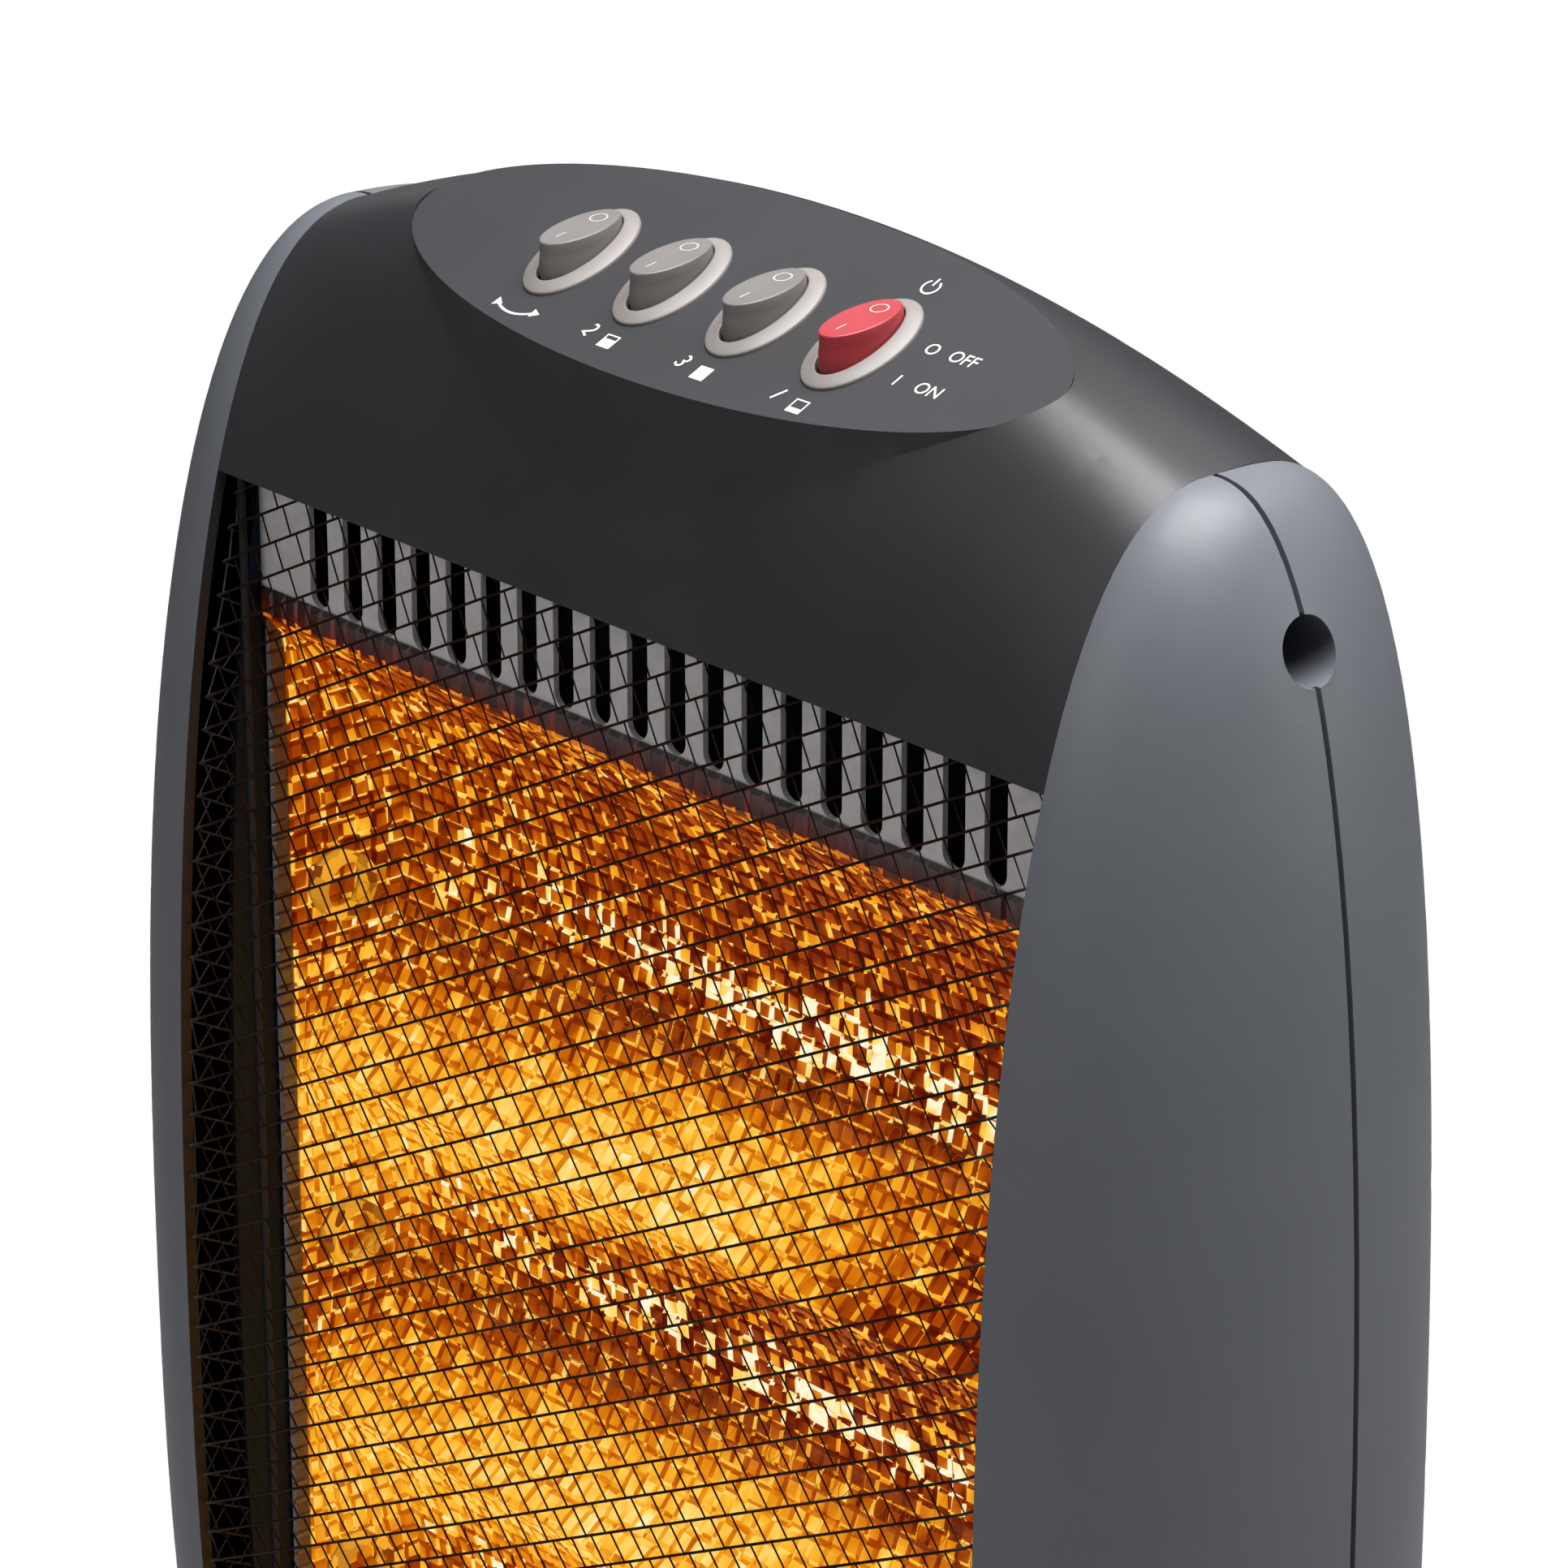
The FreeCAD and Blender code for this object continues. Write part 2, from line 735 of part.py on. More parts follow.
def base_shell():
    shell = dome_solid(0, foot_height).cut(dome_solid(base_wall, foot_height))
    shell = shell.cut(Part.makeCylinder(spigot_radius + swivel_gap, far, Vector(0, 0, 0)))
    for place in ring_places(base_screw_circle, base_screw_count, ring_turn):
        post = Part.makeCylinder(base_post_radius, base_height, place + z_axis * plate_floor)
        shell = shell.fuse(post.common(dome_solid(base_wall / 2, foot_height)))
        shell = shell.cut(Part.makeCylinder(base_screw_radius, foot_height + base_screw_length, place))
    return shell.cut(gland_line(gland_radius, base_radius - gland_inside, base_radius + gland_inside))


def base_plate():
    plate = disc(base_radius - base_wall - base_plate_gap, spigot_bore, foot_height, plate_floor)
    for place in ring_places(base_screw_circle, base_screw_count, ring_turn):
        plate = plate.cut(Part.makeCylinder(base_screw_radius, far, place))
    return plate.cut(tip_switch_hole())


def base_screws():
    screws = []
    for place in ring_places(base_screw_circle, base_screw_count, ring_turn):
        head_low = foot_height - base_screw_head_height
        head = Part.makeCylinder(base_screw_head_radius, base_screw_head_height, place + z_axis * head_low)
        shank = Part.makeCylinder(base_screw_radius, base_screw_length, place + z_axis * foot_height)
        screws.append(head.fuse(shank))
    return Part.makeCompound(screws)


def rubber_feet():
    feet = []
    for place in ring_places(foot_circle, foot_count, ring_turn):
        feet.append(Part.makeCone(foot_radius * foot_taper, foot_radius, foot_height, place))
    return Part.makeCompound(feet)


def ballast_ring():
    ring = disc(ballast_outer_radius, ballast_inner_radius, plate_floor, plate_floor + ballast_height)
    return ring.cut(gland_line(gland_radius + ballast_gland_gap, 0, base_radius))


def cord_gland():
    inner = dome_solid(0, foot_height)
    start = base_radius - gland_inside
    plug = gland_line(gland_radius, start, base_radius + gland_inside).common(inner)
    return plug.cut(gland_line(gland_bore, start, base_radius + gland_inside))


# Swivel: the neck's spigot turns in the base and a parallel crank swings it
def neck():
    top = middle_height - leaf_half_height
    outer = Part.makeCone(neck_foot_radius, neck_top_radius, top - washer_top, Vector(0, 0, washer_top))
    inner = Part.makeCone(neck_foot_radius - neck_wall, neck_top_radius - neck_wall,
                          top - washer_top - neck_wall, Vector(0, 0, washer_top + neck_wall))
    spigot = Part.makeCylinder(spigot_radius, washer_top + neck_wall - arm_top, Vector(0, 0, arm_top))
    bore = Part.makeCylinder(spigot_bore, far, Vector(0, 0, arm_top))
    cover = flipped(crown(0, bottom_rise, opening_half_width, wall))
    return outer.cut(inner).fuse(spigot).cut(bore).cut(cover)


def retaining_ring():
    return disc(retainer_radius, spigot_radius, retainer_top - retainer_thickness, retainer_top)


def swivel_washer():
    return disc(neck_foot_radius - washer_margin, spigot_radius + swivel_gap, shell_top, washer_top)


def arm(width, length, low, high):
    bar = box(Vector(-width / 2, -length, low), Vector(width / 2, 0, high))
    round_end = Part.makeCylinder(width / 2, high - low, Vector(0, -length, low))
    hub = Part.makeCylinder(width / 2, high - low, Vector(0, 0, low))
    return bar.fuse(round_end).fuse(hub)


def arm_pin():
    low = link_top - link_thickness
    return Part.makeCylinder(arm_pin_radius, arm_top - low, Vector(0, -arm_length, low))


def swivel_arm():
    low = arm_top - arm_thickness
    plate = arm(arm_width, arm_length, low, arm_top)
    plate = plate.fuse(Part.makeCylinder(spigot_radius, arm_thickness, Vector(0, 0, low)))
    return plate.cut(Part.makeCylinder(spigot_bore, far, Vector(0, 0, 0))).fuse(arm_pin())


def motor_crank():
    low = arm_top - arm_thickness
    crank = arm(arm_width, arm_length, low, arm_top).fuse(arm_pin())
    crank = crank.cut(Part.makeCylinder(motor_shaft_radius + motor_shaft_gap, far, Vector(0, 0, 0)))
    crank.translate(Vector(motor_x, 0, 0))
    return crank


def crank_link():
    low = link_top - link_thickness
    half = link_width / 2
    bar = box(Vector(motor_x, -arm_length - half, low), Vector(0, -arm_length + half, link_top))
    for x in (motor_x, 0):
        bar = bar.fuse(Part.makeCylinder(half, link_thickness, Vector(x, -arm_length, low)))
    for x in (motor_x, 0):
        hole = Part.makeCylinder(arm_pin_radius + link_pin_gap, far, Vector(x, -arm_length, 0))
        bar = bar.cut(hole)
    return bar


def swivel_motor():
    can = Part.makeCylinder(motor_radius, motor_height, Vector(motor_x, 0, plate_floor))
    shaft = Part.makeCylinder(motor_shaft_radius, arm_top - motor_top, Vector(motor_x, 0, motor_top))
    return can.fuse(shaft)


# Tip-over switch: the plunger stands just clear of the floor and drops when the heater is lifted
def tip_switch_hole():
    return Part.makeCylinder(plunger_radius + plunger_gap, far, Vector(0, tip_switch_y, 0))


def tip_over_switch():
    corner = Vector(-tip_switch_size.x / 2, tip_switch_y - tip_switch_size.y / 2, plate_floor)
    body = Part.makeBox(tip_switch_size.x, tip_switch_size.y, tip_switch_size.z, corner)
    return body.cut(tip_switch_hole())


def tip_over_plunger():
    top = plate_floor + tip_switch_size.z + plunger_rise
    foot = Vector(0, tip_switch_y, plunger_clearance)
    pin = Part.makeCylinder(plunger_radius, top - plunger_clearance, foot)
    head_radius = plunger_radius + plunger_head_margin
    head = Part.makeCylinder(head_radius, plunger_head_height, Vector(0, tip_switch_y, top))
    return pin.fuse(head)


def thermal_cutout():
    start = Vector(cutout_x, shield_y + shield_thickness, middle_height + cutout_z)
    return Part.makeCylinder(cutout_radius, cutout_height, start, y_axis)


def terminal_block():
    foot = middle_height + block_z - block_size.z / 2
    corner = Vector(-block_size.x / 2, shield_y + shield_thickness, foot)
    return Part.makeBox(block_size.x, block_size.y, block_size.z, corner)


front_cover = side_cover(leaf_front, leaf_power, -1)
rear_side = side_cover(leaf_rear, leaf_rear_power, 1)
export("side_cover_front_right", front_cover)
export("side_cover_front_left", mirrored(front_cover))
export("side_cover_rear_right", rear_side)
export("side_cover_rear_left", mirrored(rear_side))
right_screws = side_screws()
export("side_screws", Part.makeCompound(right_screws + [mirrored(screw) for screw in right_screws]))
export("top_cover", top_cover())
export("bottom_cover", bottom_cover())
export("rear_cover", rear_cover())
export("rear_cover_screws", rear_cover_screws())
right_plate = end_plate()
export("end_plate_right", right_plate)
export("end_plate_left", mirrored(right_plate))
export("reflector", reflector())
right_end = reflector_end()
export("reflector_end_right", right_end)
export("reflector_end_left", mirrored(right_end))
export("heat_shield", heat_shield())
for tube_name, tube_height in zip(tube_names, tube_heights):
    export("quartz_tube_" + tube_name, quartz_tube(tube_height))
    export("heating_coil_" + tube_name, heating_coil(tube_height))
export("ceramic_end_caps", ceramic_caps())
export("grille_mesh", grille_mesh())
switch_names = ["swivel", "heat_two", "heat_three", "power"]
for switch_name, switch_offset in zip(switch_names, switch_places()):
    export("switch_housing_" + switch_name, on_panel(switch_housing(), switch_offset))
    export("rocker_" + switch_name, on_panel(rocker(), switch_offset))
export("switch_terminals", switch_terminals())
export("thermal_cutout", thermal_cutout())
export("terminal_block", terminal_block())
export("neck", neck())
export("retaining_ring", retaining_ring())
export("swivel_washer", swivel_washer())
export("swivel_arm", swivel_arm())
export("motor_crank", motor_crank())
export("crank_link", crank_link())
export("swivel_motor", swivel_motor())
export("base_shell", base_shell())
export("base_plate", base_plate())
export("base_screws", base_screws())
export("rubber_feet", rubber_feet())
export("ballast_ring", ballast_ring())
export("cord_gland", cord_gland())
export("tip_over_switch", tip_over_switch())
export("tip_over_plunger", tip_over_plunger())
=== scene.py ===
import json
import math
import random

import bmesh
import bpy
from mathutils import Matrix, Vector


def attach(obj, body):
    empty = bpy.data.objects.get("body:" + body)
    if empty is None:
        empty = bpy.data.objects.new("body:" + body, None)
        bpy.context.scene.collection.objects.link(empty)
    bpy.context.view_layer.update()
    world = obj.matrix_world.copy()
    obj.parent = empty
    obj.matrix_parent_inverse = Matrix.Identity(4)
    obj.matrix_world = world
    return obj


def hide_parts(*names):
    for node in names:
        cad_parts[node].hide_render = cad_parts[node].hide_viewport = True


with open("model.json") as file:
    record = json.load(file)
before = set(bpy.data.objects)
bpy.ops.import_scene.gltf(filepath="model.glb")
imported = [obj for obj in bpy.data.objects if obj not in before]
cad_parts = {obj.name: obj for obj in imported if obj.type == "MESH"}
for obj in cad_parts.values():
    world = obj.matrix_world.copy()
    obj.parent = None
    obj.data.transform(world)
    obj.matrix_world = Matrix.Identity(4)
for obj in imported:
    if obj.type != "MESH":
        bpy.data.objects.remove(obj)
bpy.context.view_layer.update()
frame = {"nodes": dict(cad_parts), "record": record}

mm = 0.001
weldGap = 0.002 * mm      # CAD triangles that share a corner are merged within this
sharp = {"shell": 28, "wire": 60, "flange": 30, "switch": 40}     # degrees from which an edge stays hard
record = frame["record"]
bodyOfNode = {node: body for body, nodes in record["behaviour"]["bodies"].items() for node in nodes}
slotOfNode = {part["node"]: part["material_slot"] for part in record["subparts"]}

# head shape that the mesh and the reflector follow, in millimetres
head = {"middle": 310.0, "halfHeight": 208.5, "front": 51.0, "power": 2.45, "seamY": 6.0,
        "opening": 162.0}


# sRGB hex to the linear colour that shader sockets take
def linearColour(code):
    channels = [int(code[i:i + 2], 16) / 255 for i in (1, 3, 5)]
    linear = [c / 12.92 if c <= 0.04045 else ((c + 0.055) / 1.055) ** 2.4 for c in channels]
    return (*linear, 1.0)


# one node with its settings; an input given a socket is linked, anything else is set
def addNode(tree, kind, inputs, **settings):
    node = tree.nodes.new("ShaderNode" + kind)
    for name, value in settings.items():
        setattr(node, name, value)
    for name, value in inputs.items():
        if isinstance(value, bpy.types.NodeSocket):
            tree.links.new(value, node.inputs[name])
        else:
            node.inputs[name].default_value = value
    return node


def objectPlace(tree):
    return addNode(tree, "TexCoord", {}).outputs["Object"]


# noise in patches of about the given size in millimetres
def addNoise(tree, place, size, detail):
    inputs = {"Vector": place, "Scale": 1 / (size * mm), "Detail": detail}
    return addNode(tree, "TexNoise", inputs).outputs["Fac"]


# colours along a value, from pairs of a position and an sRGB hex code
def addRamp(tree, value, steps):
    ramp = addNode(tree, "ValToRGB", {"Fac": value})
    for position, code in steps[1:-1]:
        ramp.color_ramp.elements.new(position)
    for element, (position, code) in zip(ramp.color_ramp.elements, steps):
        element.position = position
        element.color = linearColour(code)
    return ramp.outputs["Color"]


# a value from 0 to 1, spread between two ends
def spread(tree, value, low, high):
    inputs = {"Value": value, "To Min": low, "To Max": high}
    return addNode(tree, "MapRange", inputs).outputs["Result"]


# how far a value has come from one mark to another, from 0 to 1
def progress(tree, value, start, stop):
    inputs = {"Value": value, "From Min": start, "From Max": stop}
    return addNode(tree, "MapRange", inputs).outputs["Result"]


def addMath(tree, operation, *values):
    return addNode(tree, "Math", dict(enumerate(values)), operation=operation).outputs["Value"]


# distance to either side of the heater's middle
def besideMiddle(tree, place):
    return addMath(tree, "ABSOLUTE", addNode(tree, "SeparateXYZ", {"Vector": place}).outputs["X"])


# relief too fine for geometry
def addBump(tree, height, strength):
    inputs = {"Height": height, "Strength": strength, "Distance": 0.05 * mm}
    return addNode(tree, "Bump", inputs).outputs["Normal"]


def newMaterial(name):
    material = bpy.data.materials.new(name)
    material.use_nodes = True
    material.node_tree.nodes.clear()
    return material, material.node_tree


def setSurface(tree, shader):
    addNode(tree, "OutputMaterial", {"Surface": shader})


def setPrincipled(tree, inputs):
    setSurface(tree, addNode(tree, "BsdfPrincipled", inputs).outputs["BSDF"])


plasticIor = 1.53
plasticLooks = {
    "blackAbs": dict(dark="#232124", light="#28262a", rough=0.42, grain=0.7, bump=0.25, cloud=40),
    # painted shade: a darker black for the front covers' faces inside the grille's opening
    "rimPaintedShade": dict(dark="#111113", light="#151517", rough=0.6, grain=0.7, bump=0.25, cloud=40),
    "panelAbs": dict(dark="#2b2b2e", light="#2f2f33", rough=0.7, grain=0.6, bump=0.35, cloud=40, ior=1.42),
    "baseAbs": dict(dark="#2f2d30", light="#343236", rough=0.4, grain=0.7, bump=0.25, cloud=50),
    "greyAbs": dict(dark="#5c5f65", light="#61646a", rough=0.5, grain=0.7, bump=0.22, cloud=45),
    "bezelAbs": dict(dark="#7a7573", light="#827c7a", rough=0.45, grain=0.5, bump=0.2, cloud=10),
    "rockerGreyAbs": dict(dark="#676361", light="#6d6967", rough=0.4, grain=0.5, bump=0.15, cloud=9),
    "rockerRedAbs": dict(dark="#952a30", light="#9d3036", rough=0.4, grain=0.5, bump=0.15, cloud=9),
    "rubberBlack": dict(dark="#1c1c1c", light="#242424", rough=0.8, grain=0.9, bump=0.5, cloud=8),
    "whiteAcetal": dict(dark="#c8c7c0", light="#d2d0ca", rough=0.4, grain=0.6, bump=0.1, cloud=12),
    "bakelite": dict(dark="#3a332c", light="#463d34", rough=0.5, grain=0.5, bump=0.2, cloud=6),
    "printInk": dict(dark="#d8d8d6", light="#e2e2e0", rough=0.6, grain=0.3, bump=0.1, cloud=5),
    "rockerInk": dict(dark="#a6a29f", light="#b2aeab", rough=0.6, grain=0.3, bump=0.1, cloud=5),
}


# moulded ABS: even colour with a faint cloudiness, spark-eroded grain and a soft sheen
def mouldedPlastic(name, look):
    material, tree = newMaterial(name)
    place = objectPlace(tree)
    cloud = addNoise(tree, place, look["cloud"], 2.0)
    grain = addNoise(tree, place, look["grain"], 3.0)
    setPrincipled(tree, {
        "Base Color": addRamp(tree, cloud, [(0.3, look["dark"]), (0.7, look["light"])]),
        "IOR": look.get("ior", plasticIor),
        "Roughness": spread(tree, cloud, look["rough"] - 0.03, look["rough"] + 0.03),
        "Normal": addBump(tree, grain, look["bump"]),
    })
    return material


metalLooks = {
    "zincPlate": dict(dark="#202a36", light="#303d4d", rough=0.62),
    "screwSteel": dict(dark="#55565a", light="#77787c", rough=0.34),
    "brassBlade": dict(dark="#a8854a", light="#c6a260", rough=0.35),
    "castIron": dict(dark="#333333", light="#4a4a4a", rough=0.7),
    "motorCan": dict(dark="#8a8a88", light="#a4a4a2", rough=0.38),
}


# sheet or turned metal: fine streaks along X, dull or bright by its roughness
def plainMetal(name, look):
    material, tree = newMaterial(name)
    drawn = addNode(tree, "Mapping", {"Vector": objectPlace(tree), "Scale": (60, 900, 900)})
    inputs = {"Vector": drawn.outputs["Vector"], "Scale": 1.0, "Detail": 4.0}
    streak = addNode(tree, "TexNoise", inputs).outputs["Fac"]
    setPrincipled(tree, {
        "Base Color": addRamp(tree, streak, [(0.0, look["dark"]), (1.0, look["light"])]),
        "Metallic": 1.0,
        "Roughness": spread(tree, streak, look["rough"] - 0.06, look["rough"] + 0.06),
        "Normal": addBump(tree, streak, 0.15),
    })
    return material


wireLook = {"dark": "#130502", "light": "#1b0904", "plainEnamel": "#343335",
            "tintedReach": 0.1065, "plainReach": 0.1095}    # metres to each side of the middle


# black stoved enamel on wire: glossy with thick and thin places; brown before the glowing sheet as painted
# light from the painted glow, dark grey beyond it
def enamelledWire():
    material, tree = newMaterial("enamelledWire")
    place = objectPlace(tree)
    flow = addNoise(tree, place, 3, 2.0)
    coat = addNode(tree, "MixRGB", {
        "Fac": progress(tree, besideMiddle(tree, place), wireLook["tintedReach"], wireLook["plainReach"]),
        "Color1": addRamp(tree, flow, [(0.0, wireLook["dark"]), (1.0, wireLook["light"])]),
        "Color2": linearColour(wireLook["plainEnamel"]),
    })
    setPrincipled(tree, {"Base Color": coat.outputs["Color"], "IOR": 1.2,
                         "Roughness": spread(tree, flow, 0.38, 0.55)})
    return material


sheetLooks = {
    "paintedGlowReflector": dict(dark="#746d6e", light="#a29a9b", metal=1.0, paintsGlow=True),
    # painted reflection: a near-white matt sheet stands in for the flange's reflection of bright
    # surroundings
    "reflectionPaintedSheet": dict(dark="#dcd4d5", light="#f8f3f3", metal=0.0, paintsGlow=False),
    # painted shade: a darker copy of the sheet for the end sheets' front strips
    "shadedReflector": dict(dark="#5c5658", light="#8c8486", metal=0.8, paintsGlow=False),
}
# colours of the painted glow on the reflector, from unlit to white-hot
glowSteps = [(0.0, "#000000"), (0.1, "#280601"), (0.25, "#661502"), (0.42, "#ac4704"),
             (0.6, "#e68812"), (0.78, "#ffbc32"), (0.92, "#ffe07c"), (1.0, "#fff6d4")]
glowReach = {"full": 0.131, "none": 0.141}      # metres above and below the middle of the head


# rolled aluminium sheet, embossed; on the glowing one each facet's emission is painted light, the glow
# that the tubes throw on it, and its base turns dark brown where that glow is painted
def embossedAluminium(name, look):
    material, tree = newMaterial(name)
    place = objectPlace(tree)
    rolled = addNoise(tree, place, 2.5, 3.0)
    shade = addRamp(tree, rolled, [(0.0, look["dark"]), (1.0, look["light"])])
    inputs = {"Base Color": shade, "Metallic": look["metal"],
              "Roughness": spread(tree, rolled, 0.28, 0.46)}
    if look["paintsGlow"]:
        level = addNode(tree, "Attribute", {}, attribute_name="glow", attribute_type="GEOMETRY")
        height = addNode(tree, "SeparateXYZ", {"Vector": place}).outputs["Z"]
        offset = addMath(tree, "SUBTRACT", height, head["middle"] * mm)
        offset = addMath(tree, "ABSOLUTE", offset)
        # the base turns dark brown within reach of the painted glow, as part of that painted light
        underGlow = progress(tree, offset, glowReach["none"], glowReach["full"])
        tinted = addNode(tree, "MixRGB", {"Fac": underGlow, "Color1": shade,
                                          "Color2": linearColour("#200e04")})
        rear = addNode(tree, "NewGeometry", {}).outputs["Backfacing"]
        inputs["Base Color"] = tinted.outputs["Color"]
        # the emission is the painted glow, read from each facet's painted glow level
        inputs["Emission Color"] = addRamp(tree, level.outputs["Fac"], glowSteps)
        inputs["Emission Strength"] = addMath(tree, "SUBTRACT", 1.0, rear)
    setPrincipled(tree, inputs)
    return material


# fused quartz: clear, with only a thin line of reflection along its sides
def clearQuartz():
    material, tree = newMaterial("clearQuartz")
    edge = addNode(tree, "LayerWeight", {"Blend": 0.25})
    clear = addNode(tree, "BsdfTransparent", {"Color": linearColour("#fefdfb")})
    shine = addNode(tree, "BsdfGlossy", {"Color": linearColour("#ffe0b0"), "Roughness": 0.08})
    mixed = addNode(tree, "MixShader", {"Fac": spread(tree, edge.outputs["Fresnel"], 0.003, 0.04),
                                        1: clear.outputs["BSDF"], 2: shine.outputs["BSDF"]})
    setSurface(tree, mixed.outputs["Shader"])
    return material


# resistance wire at working heat: orange turns with cooler places between them
def hotWire():
    material, tree = newMaterial("hotWire")
    patch = addNoise(tree, objectPlace(tree), 4, 2.0)
    setPrincipled(tree, {
        "Base Color": linearColour("#4a3226"), "Metallic": 1.0, "Roughness": 0.5,
        "Emission Color": addRamp(tree, patch, [(0.0, "#5a2803"), (1.0, "#a8600e")]),
        "Emission Strength": 1.0,
    })
    return material


steatiteLook = {"dark": "#7a3003", "light": "#f4a826", "base": "#2c1c10", "speckle": 3.6,
                "lit": 0.109, "unlit": 0.1105}       # metres to each side of the middle


# steatite end caps beside the tubes: matt and speckled; inside the reflector their emission is a painted
# orange glow that stands for the light on them
def glowPaintedCeramic():
    material, tree = newMaterial("glowPaintedSteatite")
    place = objectPlace(tree)
    cells = addNode(tree, "TexVoronoi", {"Vector": place, "Scale": 1 / (steatiteLook["speckle"] * mm)})
    shade = addRamp(tree, cells.outputs["Color"],
                    [(0.25, steatiteLook["dark"]), (0.75, steatiteLook["light"])])
    lit = progress(tree, besideMiddle(tree, place), steatiteLook["unlit"], steatiteLook["lit"])
    setPrincipled(tree, {"Base Color": linearColour(steatiteLook["base"]), "Roughness": 0.7,
                         "Emission Color": shade, "Emission Strength": lit})
    return material


finish = {name: mouldedPlastic(name, look) for name, look in plasticLooks.items()}
finish.update({name: plainMetal(name, look) for name, look in metalLooks.items()})
finish.update({name: embossedAluminium(name, look) for name, look in sheetLooks.items()})
finish["glowPaintedSteatite"] = glowPaintedCeramic()
finish["enamelledWire"] = enamelledWire()
finish["clearQuartz"] = clearQuartz()
finish["hotWire"] = hotWire()
print("finishes", len(finish))


def addObject(name, data):
    made = bpy.data.objects.new(name, data)
    bpy.context.scene.collection.objects.link(made)
    return made


def makePiece(name, bm, materials, body, replaced=()):
    mesh = bpy.data.meshes.new(name)
    bm.to_mesh(mesh)
    bm.free()
    for material in materials:
        mesh.materials.append(finish[material])
    piece = addObject(name, mesh)
    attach(piece, body)
    if replaced:
        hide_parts(*replaced)


def smoothFaces(bm, sharpDegrees):
    limit = math.radians(sharpDegrees)
    for face in bm.faces:
        face.smooth = True
    for edge in bm.edges:
        edge.smooth = len(edge.link_faces) == 2 and edge.calc_face_angle() < limit


# a merged, smooth copy of a CAD shell, shown in its place; faces that pass a test take a second finish
def smoothCopy(node, materials, second=None):
    bm = bmesh.new()
    bm.from_mesh(frame["nodes"][node].data)
    bmesh.ops.remove_doubles(bm, verts=bm.verts, dist=weldGap)
    smoothFaces(bm, sharp["shell"])
    for face in bm.faces:
        face.material_index = 1 if second and second(face) else 0
    makePiece(node + "_skin", bm, materials, bodyOfNode[node], [node])


# the control panel's own plane, on which its finish starts and its fittings are set
panel = {"origin": Vector((0, -3.783, 525.1)) * mm, "tilt": math.radians(25), "flatness": 0.02 * mm,
         "facing": 0.999, "switchPitch": 25 * mm, "pivotDrop": 1.5 * mm, "restTilt": math.radians(15)}
panelMatrix = Matrix.Translation(panel["origin"]) @ Matrix.Rotation(panel["tilt"], 4, "X")
panelNormal = panelMatrix.to_3x3() @ Vector((0, 0, 1))
rimFacing = 0.6


def onPanel(face):
    height = (face.calc_center_median() - panel["origin"]).dot(panelNormal)
    return abs(height) < panel["flatness"] and face.normal.dot(panelNormal) > panel["facing"]


# painted shade: the faces that look into the grille's opening take a near-black finish in place of the
# cover's grey
def inRimShade(face):
    return -math.copysign(1, face.calc_center_median().x) * face.normal.x > rimFacing


smoothCopy("top_cover", ["blackAbs", "panelAbs"], onPanel)
for node in ("bottom_cover", "rear_cover", "neck"):
    smoothCopy(node, ["blackAbs"])
smoothCopy("base_shell", ["baseAbs"])
for node in ("side_cover_rear_right", "side_cover_rear_left"):
    smoothCopy(node, ["greyAbs"])
for node in ("side_cover_front_right", "side_cover_front_left"):
    smoothCopy(node, ["greyAbs", "rimPaintedShade"], inRimShade)
print("covers in place")


def meshFromCurve(curve):
    holder = addObject(curve.name, curve)
    shown = holder.evaluated_get(bpy.context.evaluated_depsgraph_get())
    mesh = bpy.data.meshes.new_from_object(shown)
    bpy.data.objects.remove(holder)
    return mesh


# round wire along paths of points in metres
def wireMesh(name, paths, radius, resolution, caps=False):
    curve = bpy.data.curves.new(name, "CURVE")
    curve.dimensions = "3D"
    curve.bevel_depth = radius * mm
    curve.bevel_resolution = resolution
    curve.use_fill_caps = caps
    for path in paths:
        spline = curve.splines.new("POLY")
        spline.points.add(len(path) - 1)
        for point, spot in zip(spline.points, path):
            point.co = (*spot, 1)
    return meshFromCurve(curve)


# wire mesh: slanting rows and stepped bars on a bowed sheet that folds back along both sides
meshWire = {"inset": 3.6, "bow": 3.7, "edgeY": -27.0, "halfWide": 111.8, "foldRadius": 3.0,
            "halfTall": 165.0, "slope": 0.50, "rowPitch": 6.45, "rowRadius": 0.27, "rowLift": -0.14,
            "step": 5.0, "foldStep": 0.8, "cell": 5.58, "bond": 1.3, "run": 3.98, "barRadius": 0.19,
            "barLift": 0.1, "edgeRadius": 0.8}
flatHalf = meshWire["halfWide"] - meshWire["foldRadius"]
quarterTurn = meshWire["foldRadius"] * math.pi / 2


def frontLine(z):
    share = min(abs(z), head["opening"]) / head["halfHeight"]
    return head["seamY"] - head["front"] * (1 - share ** head["power"]) ** (1 / head["power"])


# the sheet's front line, which bows forwards between the two covers
def meshFront(z):
    return frontLine(z) + meshWire["inset"] - meshWire["bow"] * (1 - (z / meshWire["halfTall"]) ** 2)


# a place on the unrolled sheet, u across and z up, to its place in the head
def meshPoint(u, z, lift):
    front = meshFront(z)
    past = abs(u) - flatHalf
    side = math.copysign(1, u)
    if past <= 0:
        spot = (u, front + lift)
    elif past <= quarterTurn:
        turn = past / meshWire["foldRadius"]
        reach = meshWire["foldRadius"] - lift
        spot = (side * (flatHalf + reach * math.sin(turn)),
                front + meshWire["foldRadius"] - reach * math.cos(turn))
    else:
        spot = (side * (meshWire["halfWide"] - lift),
                front + meshWire["foldRadius"] + past - quarterTurn)
    return Vector((spot[0], spot[1], head["middle"] + z)) * mm


def sheetReach(z):
    straight = meshWire["edgeY"] - (meshFront(z) + meshWire["foldRadius"])
    return flatHalf + quarterTurn + max(0.0, straight)


